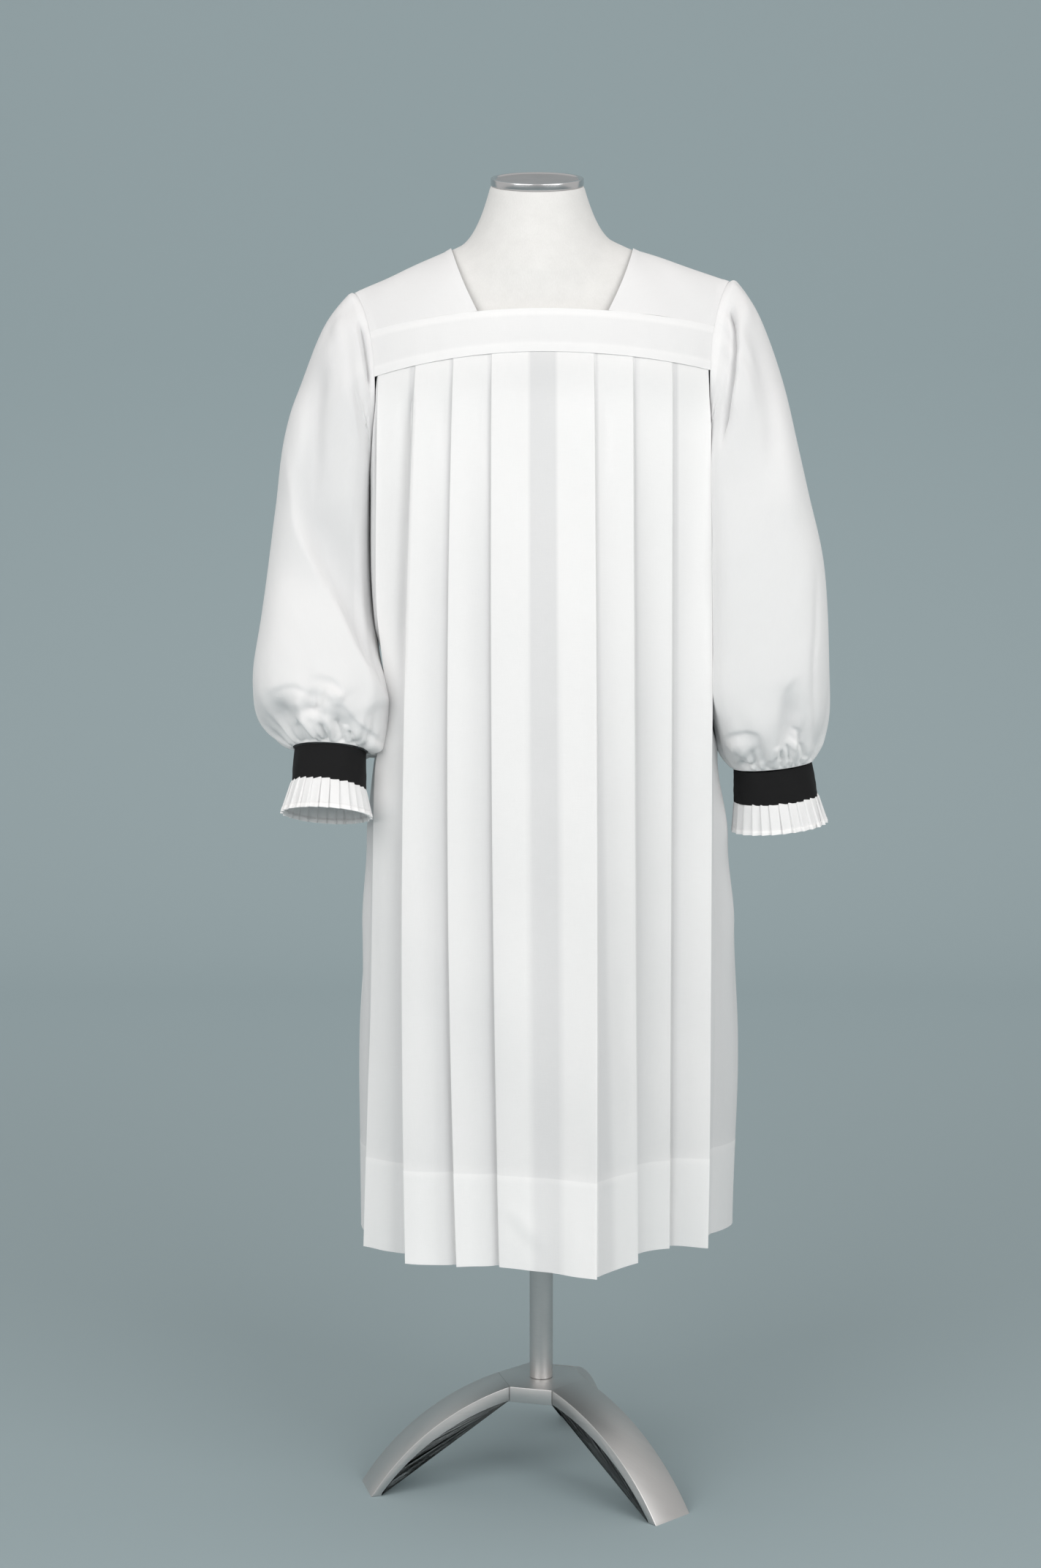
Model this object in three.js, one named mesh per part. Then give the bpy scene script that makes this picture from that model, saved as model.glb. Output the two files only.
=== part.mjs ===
// A rochet worn on a limbless dress form.
//
// The rochet is a white vestment of thin cloth. A plain yoke lies on the shoulders, and a long
// front and back hang from it in knife pleats that face outwards from a wide box pleat. Bishop
// sleeves are gathered into black wristbands, each with a small pleated frill. The form is a
// covered torso with a tilted neck cap, on a post with three arched legs.
//
// Millimetres, +Z up, -Y is the front. The origin is on the floor, on the post's axis.

import * as THREE from 'three';

// ---------------------------------------------------------------- driving dimensions

const CLOTH_WALL = 1.2;          // thickness of every cloth wall
const BAND_WALL = 1.6;           // the wristbands are folded cloth, so a little thicker
const SEAM_GAP = 0.35;           // clearance on each side of a seam
const LAYER_STEP = 1.9;          // from one pleat layer to the next: a wall and a gap

const HEM_Z = 325;               // height of the level hem
const CHEST_Z = 1355;            // below this height the shoulders' surface is upright
const NECK_POINT = { x: 112, z: 1559 };               // where shoulder and neckline meet
const SHOULDER_SLOPE = { left: 0.45, right: 0.33 };   // fall of the shoulder line past that
const NECK_SLOPE = 0.45;                              // rise of the line inside it
const CLOTH_PLAN = { halfWidth: 240, halfDepth: 130, power: 2.2 };

const YOKE = {
  frontTop: 1478,                // height of the square neckline, at the centre
  frontBottom: 1426,             // height of the seam that the pleats hang from
  backTop: 1527,
  backBottom: 1437,
  droop: 26,                     // fall of the yoke's seams from the centre to the armholes
  neckFront: 78,                 // half width of the neckline at its front corners
  neckBack: 88,
};

const ARMHOLE = {
  tipX: 232,                     // the shoulder point
  chestX: 204,                   // the narrowest place, level with the chest
  underX: 213,                   // the bottom, under the arm
  underY: 4,
  underZ: 1286,
  curve: 1.45,                   // how quickly the seam curves in from the shoulder point
};

const PLEAT_RETURN = 46;         // width of cloth that turns back under each pleat
const BASE_INSET = 5.6;          // how far the lowest pleat layer lies inside the yoke
const HEM_RETURN = 49;           // the same return where the pleats stand open at the hem

// One row for each pleat, counted from the centre outwards. yoke, waist and hem are the
// distances of its folded edge from the centre, y is where that edge hangs at the hem, step is
// how far the next face hangs behind it, and back is how far behind it the return turns.
const FRONT_PLEATS = {
  left: [
    { yoke: 61, waist: 61, hem: 52, y: -190, step: 22, back: 14 },
    { yoke: 107, waist: 115, hem: 104, y: -187, step: 31, back: 26 },
    { yoke: 153, waist: 170, hem: 167, y: -171, step: 55, back: 32 },
    { yoke: 199, waist: 203, hem: 219, y: -93, step: 56, back: 33 },
  ],
  right: [
    { yoke: 64, waist: 64, hem: 64, y: -241, step: 25, back: 27 },
    { yoke: 110, waist: 112, hem: 116, y: -177, step: 51, back: 31 },
    { yoke: 156, waist: 158, hem: 158, y: -107, step: 17, back: 14 },
    { yoke: 201, waist: 209, hem: 206, y: -103, step: 60, back: 35 },
  ],
};

const BACK_PLEATS = {
  left: [
    { yoke: 66, waist: 68, hem: 70, y: -226, step: 24, back: 24 },
    { yoke: 128, waist: 134, hem: 136, y: -196, step: 38, back: 28 },
    { yoke: 190, waist: 194, hem: 200, y: -128, step: 42, back: 30 },
  ],
  right: [
    { yoke: 66, waist: 66, hem: 62, y: -216, step: 30, back: 22 },
    { yoke: 128, waist: 130, hem: 128, y: -205, step: 34, back: 26 },
    { yoke: 190, waist: 196, hem: 202, y: -134, step: 44, back: 30 },
  ],
};

// Distance of the side seams from the centre, one row for each height.
const SIDE_SEAM = [
  { z: 1286, left: 213, right: 213 },
  { z: 1075, left: 209, right: 214 },
  { z: 930, left: 210, right: 217 },
  { z: 825, left: 229, right: 233 },
  { z: 715, left: 233, right: 246 },
  { z: 555, left: 234, right: 252 },
  { z: HEM_Z, left: 232, right: 247 },
];
const SIDE_SEAM_HEM_Y = 30;      // the side seams drift this far back by the hem
const SIDE_SETTLE = 1 / 6;         // share of their length over which the side edges fall into line

// The left sleeve rests against the skirt and presses it in, from a distance off the centre on.
const SLEEVE_PRESS = { z: 990, depth: 15, reach: 90, from: 120, fade: 60 };

// Heights of the rows of a panel's mesh, as shares of its length from the yoke to the hem.
const PANEL_ROWS = [0, 0.07, 0.17, 0.27, 0.34, 0.41, 0.5, 0.72, 1];

// Places along the armhole's lower half where the panels' side edges have points, in degrees
// from the shoulder point, and where each hangs between the last pleat and the side seam.
const SIDE_POINTS = [
  { angle: 96, share: 0.12 },
  { angle: 122, share: 0.42 },
  { angle: 150, share: 0.74 },
  { angle: 180, share: 1 },
];

// Rings down each sleeve. outX, outZ and inX, inZ are the ring's outer and inner points as
// seen from the front, y is its centre, depth its half depth, lift how much higher its front
// is, bow how far its front and back lie nearer the body, and gather the height of its ripples.
const SLEEVE_RINGS = {
  left: [
    { outX: 242, outZ: 1502, inX: 215, inZ: 1279, y: 2, depth: 68, lift: 0, bow: 12, gather: 1.5 },
    { outX: 271, outZ: 1462, inX: 217, inZ: 1259, y: 0, depth: 86, lift: 0, bow: 8, gather: 3 },
    { outX: 298, outZ: 1393, inX: 216, inZ: 1230, y: -2, depth: 88, lift: 0, bow: 3, gather: 2 },
    { outX: 318, outZ: 1325, inX: 215, inZ: 1200, y: -5, depth: 87, lift: 0, bow: 0, gather: 0 },
    { outX: 329, outZ: 1245, inX: 213, inZ: 1155, y: -9, depth: 83, lift: 2, bow: 0, gather: 0 },
    { outX: 339, outZ: 1170, inX: 209, inZ: 1105, y: -18, depth: 78, lift: 8, bow: 0, gather: 0 },
    { outX: 347, outZ: 1105, inX: 203, inZ: 1055, y: -36, depth: 78, lift: 16, bow: 0, gather: 0 },
    { outX: 355, outZ: 1040, inX: 194, inZ: 1005, y: -54, depth: 78, lift: 22, bow: 0, gather: 1 },
    { outX: 351, outZ: 997, inX: 195, inZ: 965, y: -69, depth: 74, lift: 22, bow: 0, gather: 3 },
    { outX: 335, outZ: 968, inX: 199, inZ: 945, y: -78, depth: 62, lift: 20, bow: 0, gather: 5 },
    { outX: 305, outZ: 946, inX: 215, inZ: 941, y: -85, depth: 38, lift: 12, bow: 0, gather: 1 },
  ],
  right: [
    { outX: 243, outZ: 1518, inX: 215, inZ: 1279, y: 2, depth: 68, lift: 0, bow: 12, gather: 1.5 },
    { outX: 270, outZ: 1476, inX: 217, inZ: 1261, y: 0, depth: 87, lift: 0, bow: 8, gather: 3 },
    { outX: 297, outZ: 1401, inX: 217, inZ: 1235, y: -4, depth: 90, lift: 0, bow: 3, gather: 2 },
    { outX: 314, outZ: 1331, inX: 217, inZ: 1205, y: -8, depth: 90, lift: 0, bow: 0, gather: 0 },
    { outX: 331, outZ: 1260, inX: 217, inZ: 1168, y: -12, depth: 89, lift: 0, bow: 0, gather: 0 },
    { outX: 349, outZ: 1185, inX: 217, inZ: 1120, y: -14, depth: 87, lift: 0, bow: 0, gather: 0 },
    { outX: 356, outZ: 1115, inX: 218, inZ: 1067, y: -16, depth: 85, lift: 0, bow: 0, gather: 0 },
    { outX: 358, outZ: 1045, inX: 219, inZ: 1010, y: -18, depth: 83, lift: 0, bow: 0, gather: 1 },
    { outX: 356, outZ: 990, inX: 220, inZ: 965, y: -20, depth: 77, lift: 0, bow: 0, gather: 3 },
    { outX: 349, outZ: 955, inX: 222, inZ: 939, y: -21, depth: 64, lift: -2, bow: 0, gather: 5 },
    { outX: 339, outZ: 926, inX: 239, inZ: 915, y: -22, depth: 39, lift: -4, bow: 0, gather: 1 },
  ],
};
const SLEEVE_COLUMNS = 32;
const GATHER_WAVES = 8;

// The black wristbands and the frills below them, in the same terms as the sleeves' rings.
const CUFFS = {
  left: {
    bandTop: { outX: 304, outZ: 946, inX: 216, inZ: 941, y: -85, depth: 37, lift: 12, bow: 0 },
    bandEnd: { outX: 307, outZ: 906, inX: 216, inZ: 896, y: -98, depth: 37, lift: 12, bow: 0 },
    frillEnd: { outX: 320, outZ: 869, inX: 207, inZ: 863, y: -112, depth: 47, lift: 15, bow: 0 },
  },
  right: {
    bandTop: { outX: 338, outZ: 926, inX: 240, inZ: 915, y: -22, depth: 38, lift: -4, bow: 0 },
    bandEnd: { outX: 346, outZ: 884, inX: 241, inZ: 875, y: -23, depth: 39, lift: -5, bow: 0 },
    frillEnd: { outX: 359, outZ: 850, inX: 238, inZ: 837, y: -24, depth: 50, lift: -5, bow: 0 },
  },
};
const BAND_COLUMNS = 24;
const FRILL_PLEATS = 26;
const FRILL_PLEAT_DEPTH = { top: 2, end: 5 };

// The dress form: half width and half depth of the torso, one row for each height.
const TORSO = [
  { z: 790, halfWidth: 166, halfDepth: 112 },
  { z: 905, halfWidth: 176, halfDepth: 120 },
  { z: 1015, halfWidth: 164, halfDepth: 110 },
  { z: 1115, halfWidth: 154, halfDepth: 102 },
  { z: 1215, halfWidth: 166, halfDepth: 108 },
  { z: 1305, halfWidth: 190, halfDepth: 116 },
  { z: 1355, halfWidth: 205, halfDepth: 118 },
  { z: 1425, halfWidth: 229, halfDepth: 118 },
  { z: 1675, halfWidth: 231, halfDepth: 118 },
];
const TORSO_COLUMNS = 40;
const SHOULDER_CLEARANCE = 0.8;  // from the form's shoulder line up to the cloth
const NECK = { x: -6, topZ: 1637.5, length: 110, radius: 57.5, flare: 0.28, tilt: 15, blend: 0.5 };
const CAP = { radius: 57.5, height: 9, edge: 1.5 };

const POST = { radius: 15, flangeRadius: 48, flangeHeight: 6 };
const HUB = { top: 128, height: 20, legFace: 62, freeFace: 55 };
const LEG = {
  width: 62,
  footRadius: 230,
  rootThickness: 19,
  footThickness: 10,
  rootSlope: 12,                 // degrees below level where a leg leaves the hub
  footSlope: 54,                 // degrees below level where it meets the floor
  azimuths: [194.5, 314.5, 74.5],
  steps: 14,
};
const JOINT_GAP = 0.3;           // clearance between the stand's pieces

// ---------------------------------------------------------------- small helpers

const degrees = THREE.MathUtils.degToRad;
const mix = THREE.MathUtils.lerp;
const range = (count) => Array.from({ length: count }, (_, index) => index);
const sideSign = (side) => (side === 'left' ? -1 : 1);

// The value of one column of a table of heights, with smooth steps between the rows.
function tableAt(table, z, column) {
  const rows = [...table].sort((a, b) => a.z - b.z);
  if (z <= rows[0].z) return rows[0][column];
  for (let i = 1; i < rows.length; i += 1) {
    if (z > rows[i].z) continue;
    const share = (z - rows[i - 1].z) / (rows[i].z - rows[i - 1].z);
    return mix(rows[i - 1][column], rows[i][column], share * share * (3 - 2 * share));
  }
  return rows.at(-1)[column];
}

// A closed mesh from points and faces, turned so that its faces point outwards.
function closedGeometry(points, faces) {
  const volume = faces.reduce((sum, [a, b, c]) => {
    const cross = new THREE.Vector3().crossVectors(points[b], points[c]);
    return sum + points[a].dot(cross);
  }, 0);
  const outward = volume > 0 ? faces : faces.map(([a, b, c]) => [a, c, b]);
  const geometry = new THREE.BufferGeometry();
  const positions = points.flatMap((point) => [point.x, point.y, point.z]);
  geometry.setAttribute('position', new THREE.Float32BufferAttribute(positions, 3));
  geometry.setIndex(outward.flat());
  geometry.computeVertexNormals();
  return geometry;
}

// The closed wall between two grids of points, each an array of rows. In a ring the last
// column joins the first. Each patch is split along its shorter diagonal, so that the two
// sides of a fold bend alike.
function wallBetween(outer, inner, ring) {
  const rows = outer.length;
  const columns = outer[0].length;
  const spans = ring ? columns : columns - 1;
  const points = [...outer.flat(), ...inner.flat()];
  const at = (layer, row, column) => (layer * rows + row) * columns + (column % columns);
  const faces = [];
  const quad = (a, b, c, d) => faces.push([a, b, c], [a, c, d]);
  for (const column of range(spans)) {
    const next = column + 1;
    for (const row of range(rows - 1)) {
      const [a, b, c, d] = [[0, 0], [0, 1], [1, 1], [1, 0]].map(([down, along]) => (
        at(0, row + down, column + along)));
      const under = rows * columns;
      if (points[a].distanceTo(points[c]) < points[b].distanceTo(points[d])) {
        quad(a, b, c, d);
        quad(a + under, d + under, c + under, b + under);
      } else {
        quad(b, c, d, a);
        quad(b + under, a + under, d + under, c + under);
      }
    }
    const last = rows - 1;
    quad(at(0, 0, column), at(1, 0, column), at(1, 0, next), at(0, 0, next));
    quad(at(0, last, column), at(0, last, next), at(1, last, next), at(1, last, column));
  }
  if (!ring) {
    const end = columns - 1;
    for (const row of range(rows - 1)) {
      quad(at(0, row, 0), at(0, row + 1, 0), at(1, row + 1, 0), at(1, row, 0));
      quad(at(0, row, end), at(1, row, end), at(1, row + 1, end), at(0, row + 1, end));
    }
  }
  return closedGeometry(points, faces);
}

// A ring wall's inner grid: each point moved in by the wall, square to the surface.
function insetRing(grid, wall) {
  const columns = grid[0].length;
  return grid.map((row, r) => {
    const above = grid[Math.max(r - 1, 0)];
    const below = grid[Math.min(r + 1, grid.length - 1)];
    return row.map((point, c) => {
      const along = below[c].clone().sub(above[c]);
      const around = row[(c + 1) % columns].clone().sub(row[(c + columns - 1) % columns]);
      const inward = new THREE.Vector3().crossVectors(around, along).normalize();
      const centre = row.reduce((sum, p) => sum.add(p), new THREE.Vector3()).divideScalar(columns);
      if (inward.dot(centre.sub(point)) < 0) inward.negate();
      return point.clone().addScaledVector(inward, wall);
    });
  });
}

// A solid through a stack of rings, closed flat at both ends.
function stackedRings(rings) {
  const columns = rings[0].length;
  const points = rings.flat();
  const faces = [];
  for (const row of range(rings.length - 1)) {
    for (const column of range(columns)) {
      const a = row * columns + column;
      const b = row * columns + ((column + 1) % columns);
      faces.push([a, b, b + columns], [a, b + columns, a + columns]);
    }
  }
  const middle = (ring) => ring.reduce((s, p) => s.add(p), new THREE.Vector3()).divideScalar(columns);
  const first = points.push(middle(rings[0])) - 1;
  const last = points.push(middle(rings.at(-1))) - 1;
  const top = (rings.length - 1) * columns;
  for (const column of range(columns)) {
    const next = (column + 1) % columns;
    faces.push([first, next, column], [last, top + column, top + next]);
  }
  return closedGeometry(points, faces);
}

// ---------------------------------------------------------------- the shoulders' surface

function shoulderLine(x) {
  const past = Math.abs(x) - NECK_POINT.x;
  const outside = x < 0 ? SHOULDER_SLOPE.left : SHOULDER_SLOPE.right;
  return NECK_POINT.z - past * (past < 0 ? NECK_SLOPE : outside);
}

function planDepth(x, plan) {
  const share = Math.min(Math.abs(x) / plan.halfWidth, 1);
  return plan.halfDepth * (1 - share ** plan.power) ** (1 / plan.power);
}

// A point of the surface that the cloth lies on. turn goes from 0 at the front of the chest,
// over the shoulder line at a quarter turn, to a half turn at the back.
function shoulderPoint(x, turn) {
  const y = -planDepth(x, CLOTH_PLAN) * Math.cos(turn);
  const z = CHEST_Z + (shoulderLine(x) - CHEST_Z) * Math.sin(turn);
  return new THREE.Vector3(x, y, z);
}

// The same point moved out by a distance, square to the surface.
function raisedPoint(x, turn, out) {
  const reach = 0.5;
  const swing = 0.004;
  const across = shoulderPoint(x + reach, turn).sub(shoulderPoint(x - reach, turn));
  const over = shoulderPoint(x, turn + swing).sub(shoulderPoint(x, turn - swing));
  const normal = new THREE.Vector3().crossVectors(across, over).normalize();
  return shoulderPoint(x, turn).addScaledVector(normal, out);
}

// The turn at which the surface is at a given height, on the front or on the back.
function turnAt(x, z, facing) {
  const rise = Math.min((z - CHEST_Z) / (shoulderLine(x) - CHEST_Z), 1);
  const turn = Math.asin(rise);
  return facing < 0 ? turn : Math.PI - turn;
}

// ---------------------------------------------------------------- the armhole

// A point of the armhole seam. angle is 0 at the shoulder point, a quarter turn at the front
// of the chest and a half turn under the arm; from there it comes up the back.
function armholePoint(side, angle) {
  const sign = sideSign(side);
  const forward = Math.sin(angle);
  const reach = Math.abs(forward);
  const top = shoulderLine(sign * ARMHOLE.tipX);
  const z = mix(ARMHOLE.underZ, top, (1 + Math.cos(angle)) / 2);
  if (Math.cos(angle) >= 0) {
    const x = mix(ARMHOLE.tipX, ARMHOLE.chestX, reach ** ARMHOLE.curve);
    return shoulderPoint(sign * x, turnAt(sign * x, z, forward < 0 ? 1 : -1));
  }
  const x = mix(ARMHOLE.underX, ARMHOLE.chestX, reach);
  const level = mix(ARMHOLE.underZ, top, 0.5);
  const chest = shoulderPoint(ARMHOLE.chestX, turnAt(ARMHOLE.chestX, level, -1));
  const y = mix(ARMHOLE.underY, Math.sign(forward) * chest.y, reach);
  return new THREE.Vector3(sign * x, y, z);
}

// The armhole seam's distance from the centre, at a height above the chest.
function armholeX(side, z) {
  const top = shoulderLine(sideSign(side) * ARMHOLE.tipX);
  const share = THREE.MathUtils.clamp((z - ARMHOLE.underZ) / (top - ARMHOLE.underZ), 0, 1);
  const reach = Math.sin(Math.acos(2 * share - 1));
  return mix(ARMHOLE.tipX, ARMHOLE.chestX, reach ** ARMHOLE.curve);
}

// ---------------------------------------------------------------- the yoke

// Height of a yoke seam at a distance from the centre: level in the middle, drooping outwards.
function seamHeight(centreHeight, x) {
  return centreHeight - YOKE.droop * (Math.abs(x) / ARMHOLE.chestX) ** 2;
}

// A band of the yoke, from armhole to armhole, between two seams.
function yokeBand(top, bottom, facing, columns, rows) {
  const layer = (out) => range(rows + 1).map((row) => range(columns + 1).map((column) => {
    const across = Math.sin(degrees(mix(-90, 90, column / columns)));
    const side = across < 0 ? 'left' : 'right';
    const heightAt = (x) => mix(
      seamHeight(top, x) - SEAM_GAP,
      seamHeight(bottom, x) + SEAM_GAP,
      row / rows,
    );
    let x = across * ARMHOLE.chestX;
    for (let pass = 0; pass < 6; pass += 1) {
      x = across * (armholeX(side, heightAt(x / Math.max(Math.abs(across), 0.01))) - SEAM_GAP);
    }
    return raisedPoint(x, turnAt(x, heightAt(x), facing), out);
  }));
  return wallBetween(layer(CLOTH_WALL), layer(0), false);
}

// The neckline's distance from the centre, at a turn over the shoulder.
function necklineX(turn) {
  const front = turn < Math.PI / 2;
  const corner = front ? YOKE.neckFront : YOKE.neckBack;
  const base = front ? YOKE.frontTop : YOKE.backTop;
  const z = shoulderPoint(NECK_POINT.x, turn).z;
  const rise = THREE.MathUtils.clamp((z - base) / (NECK_POINT.z - base), 0, 1);
  return mix(corner, NECK_POINT.x, rise);
}

// A shoulder piece: from the front band over the shoulder to the back band, between the
// neckline and the armhole. A point's distance and turn depend on each other, so they are
// worked out by turns until they settle.
function shoulderPiece(side, columns, rows) {
  const sign = sideSign(side);
  const place = (across, over) => {
    let x = mix(NECK_POINT.x, ARMHOLE.chestX, across);
    let turn = 0;
    for (let pass = 0; pass < 6; pass += 1) {
      const front = turnAt(sign * x, seamHeight(YOKE.frontTop, x) + SEAM_GAP, -1);
      const back = turnAt(sign * x, seamHeight(YOKE.backTop, x) + SEAM_GAP, 1);
      turn = mix(front, back, over);
      const edge = armholeX(side, shoulderPoint(sign * x, turn).z) - SEAM_GAP;
      x = mix(necklineX(turn), edge, across);
    }
    return { x: sign * x, turn };
  };
  const layer = (out) => range(rows + 1).map((row) => range(columns + 1).map((column) => {
    const { x, turn } = place(column / columns, row / rows);
    return raisedPoint(x, turn, out);
  }));
  return wallBetween(layer(CLOTH_WALL), layer(0), false);
}

// ---------------------------------------------------------------- the pleated panels

// A point of a panel's upper edge, under the yoke, on one of its stacked layers. Layer 0 is
// the lowest, next to the form.
function yokeEdgePoint(x, layer, facing) {
  const seam = seamHeight(facing < 0 ? YOKE.frontBottom : YOKE.backBottom, x) - SEAM_GAP;
  return raisedPoint(x, turnAt(x, seam, facing), layer * LAYER_STEP - BASE_INSET);
}

// The knots of one half of a panel, from its centre to its side seam. Each has its place at
// the yoke and at the hem, and its distance from the centre at the waist.
function panelKnots(pleats, side, facing) {
  const sign = sideSign(side);
  const knots = [];
  const add = (yokeX, layer, waist, hemX, hemY) => knots.push({
    top: yokeEdgePoint(sign * yokeX, layer, facing),
    waist: sign * waist,
    hem: new THREE.Vector3(sign * hemX, -facing * hemY, HEM_Z),
  });
  for (const pleat of pleats) {
    const inner = Math.sqrt(HEM_RETURN ** 2 - pleat.back ** 2);
    const behind = pleat.y + pleat.back;
    const turnWaist = pleat.waist - PLEAT_RETURN;
    add(pleat.yoke, 4, pleat.waist, pleat.hem, pleat.y);
    add(pleat.yoke, 3, pleat.waist, pleat.hem, pleat.y + LAYER_STEP);
    add(pleat.yoke - PLEAT_RETURN, 1, turnWaist, pleat.hem - inner, behind);
    add(pleat.yoke - PLEAT_RETURN, 0, turnWaist, pleat.hem - inner, behind + LAYER_STEP);
    add(pleat.yoke + 1, 2, pleat.waist + 1, pleat.hem + 1, pleat.y + pleat.step);
  }
  const last = pleats.at(-1);
  const seamX = SIDE_SEAM.at(-1)[side];
  for (const point of SIDE_POINTS) {
    const round = Math.sin((point.share * Math.PI) / 2);
    const top = armholePoint(side, -facing * degrees(point.angle));
    top.x -= sign * (SEAM_GAP + CLOTH_WALL);
    top.z -= SEAM_GAP;
    top.y += facing * SEAM_GAP;
    const seamY = -facing * SIDE_SEAM_HEM_Y - SEAM_GAP;
    const hemY = mix(last.y + last.step, seamY, point.share);
    knots.push({
      top,
      share: point.share,
      edge: last,
      side,
      hem: new THREE.Vector3(sign * mix(last.hem, seamX, round), -facing * hemY, HEM_Z),
    });
  }
  return knots;
}

// A knot's place at a share of the way from the yoke to the hem. Across, it follows a curve
// through its places at the yoke, waist and hem; outwards, it moves faster towards the hem.
function knotAt(knot, share) {
  const z = mix(knot.top.z, knot.hem.z, share);
  const open = share * (0.5 + 0.5 * share);
  const y = mix(knot.top.y, knot.hem.y, open);
  const early = (1 - share) * (1 - 2 * share);
  const middle = 4 * share * (1 - share);
  const late = share * (2 * share - 1);
  let x = knot.top.x * early + knot.waist * middle + knot.hem.x * late;
  if (knot.edge) {
    const sign = sideSign(knot.side);
    const edgeX = knot.edge.yoke * early + knot.edge.waist * middle + knot.edge.hem * late;
    const hangs = mix(edgeX, tableAt(SIDE_SEAM, z, knot.side), Math.sin((knot.share * Math.PI) / 2));
    x = mix(knot.top.x, sign * hangs, Math.min(share / SIDE_SETTLE, 1));
  }
  if (x < -SLEEVE_PRESS.from) {
    const near = Math.exp(-(((z - SLEEVE_PRESS.z) / SLEEVE_PRESS.reach) ** 2));
    x += SLEEVE_PRESS.depth * near * Math.min((-SLEEVE_PRESS.from - x) / SLEEVE_PRESS.fade, 1);
  }
  return new THREE.Vector3(x, y, z);
}

// A line of points moved sideways in plan, with mitred corners.
function planOffset(points, distance) {
  const normalOf = (a, b) => new THREE.Vector2(a.y - b.y, b.x - a.x).normalize();
  return points.map((point, i) => {
    const before = normalOf(points[Math.max(i - 1, 0)], points[Math.max(i, 1)]);
    const last = points.length - 1;
    const after = normalOf(points[Math.min(i, last - 1)], points[Math.min(i + 1, last)]);
    const mitre = before.clone().add(after).normalize();
    const reach = distance / Math.max(mitre.dot(before), 0.5);
    return new THREE.Vector3(point.x + mitre.x * reach, point.y + mitre.y * reach, point.z);
  });
}

function pleatedPanel(pleats, facing) {
  const left = panelKnots(pleats.left, 'left', facing).reverse();
  const right = panelKnots(pleats.right, 'right', facing);
  const knots = [...left, ...right];
  const lines = PANEL_ROWS.map((share) => knots.map((knot) => knotAt(knot, share)));
  const outer = lines.map((line) => planOffset(line, CLOTH_WALL / 2));
  const inner = lines.map((line) => planOffset(line, -CLOTH_WALL / 2));
  return wallBetween(outer, inner, false);
}

// ---------------------------------------------------------------- the sleeves and cuffs

// A point of a ring. angle is 0 at the ring's outer point and a quarter turn at its front.
function ringPoint(side, ring, angle, raise = 0) {
  const half = { x: (ring.outX - ring.inX) / 2, z: (ring.outZ - ring.inZ) / 2 };
  const forward = Math.sin(angle);
  const outward = Math.cos(angle);
  const spread = 1 + raise / Math.hypot(half.x, half.z);
  const x = (ring.outX + ring.inX) / 2 + half.x * spread * outward - ring.bow * forward ** 2;
  const y = ring.y - (ring.depth + raise) * forward;
  const z = (ring.outZ + ring.inZ) / 2 + half.z * spread * outward + ring.lift * forward;
  return new THREE.Vector3(sideSign(side) * x, y, z);
}

function sleeve(side) {
  const sign = sideSign(side);
  const angles = range(SLEEVE_COLUMNS).map((column) => (column / SLEEVE_COLUMNS) * Math.PI * 2);
  const head = angles.map((angle) => {
    const point = armholePoint(side, angle > Math.PI ? angle - Math.PI * 2 : angle);
    point.x += sign * SEAM_GAP;
    return point;
  });
  const rings = SLEEVE_RINGS[side].map((ring, row) => angles.map((angle) => {
    const phase = row * 0.35 + (side === 'left' ? 0 : 1.2);
    const ripple = ring.gather * (Math.cos(GATHER_WAVES * angle + phase) - 1);
    return ringPoint(side, ring, angle, ripple);
  }));
  const outer = [head, ...rings];
  return wallBetween(outer, insetRing(outer, CLOTH_WALL), true);
}

function wristband(side) {
  const { bandTop, bandEnd } = CUFFS[side];
  const angles = range(BAND_COLUMNS).map((column) => (column / BAND_COLUMNS) * Math.PI * 2);
  const lower = { ...bandTop, outZ: bandTop.outZ - SEAM_GAP, inZ: bandTop.inZ - SEAM_GAP };
  const outer = [lower, bandEnd].map((ring) => angles.map((angle) => ringPoint(side, ring, angle)));
  return wallBetween(outer, insetRing(outer, BAND_WALL), true);
}

// A frill of knife pleats: each rises along its face and drops back at its fold.
function cuffFrill(side) {
  const { bandEnd, frillEnd } = CUFFS[side];
  const top = { ...bandEnd, outZ: bandEnd.outZ - SEAM_GAP * 2, inZ: bandEnd.inZ - SEAM_GAP * 2 };
  const profile = [{ at: 0, rise: 0 }, { at: 0.5, rise: 0.5 }, { at: 0.86, rise: 1 }];
  const rows = [
    { ring: top, depth: FRILL_PLEAT_DEPTH.top },
    { ring: frillEnd, depth: FRILL_PLEAT_DEPTH.end },
  ];
  const outer = rows.map((row) => range(FRILL_PLEATS).flatMap((pleat) => profile.map((point) => {
    const angle = ((pleat + point.at) / FRILL_PLEATS) * Math.PI * 2;
    return ringPoint(side, row.ring, angle, (point.rise - 1) * row.depth);
  })));
  return wallBetween(outer, insetRing(outer, CLOTH_WALL), true);
}

// ---------------------------------------------------------------- the dress form

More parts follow.
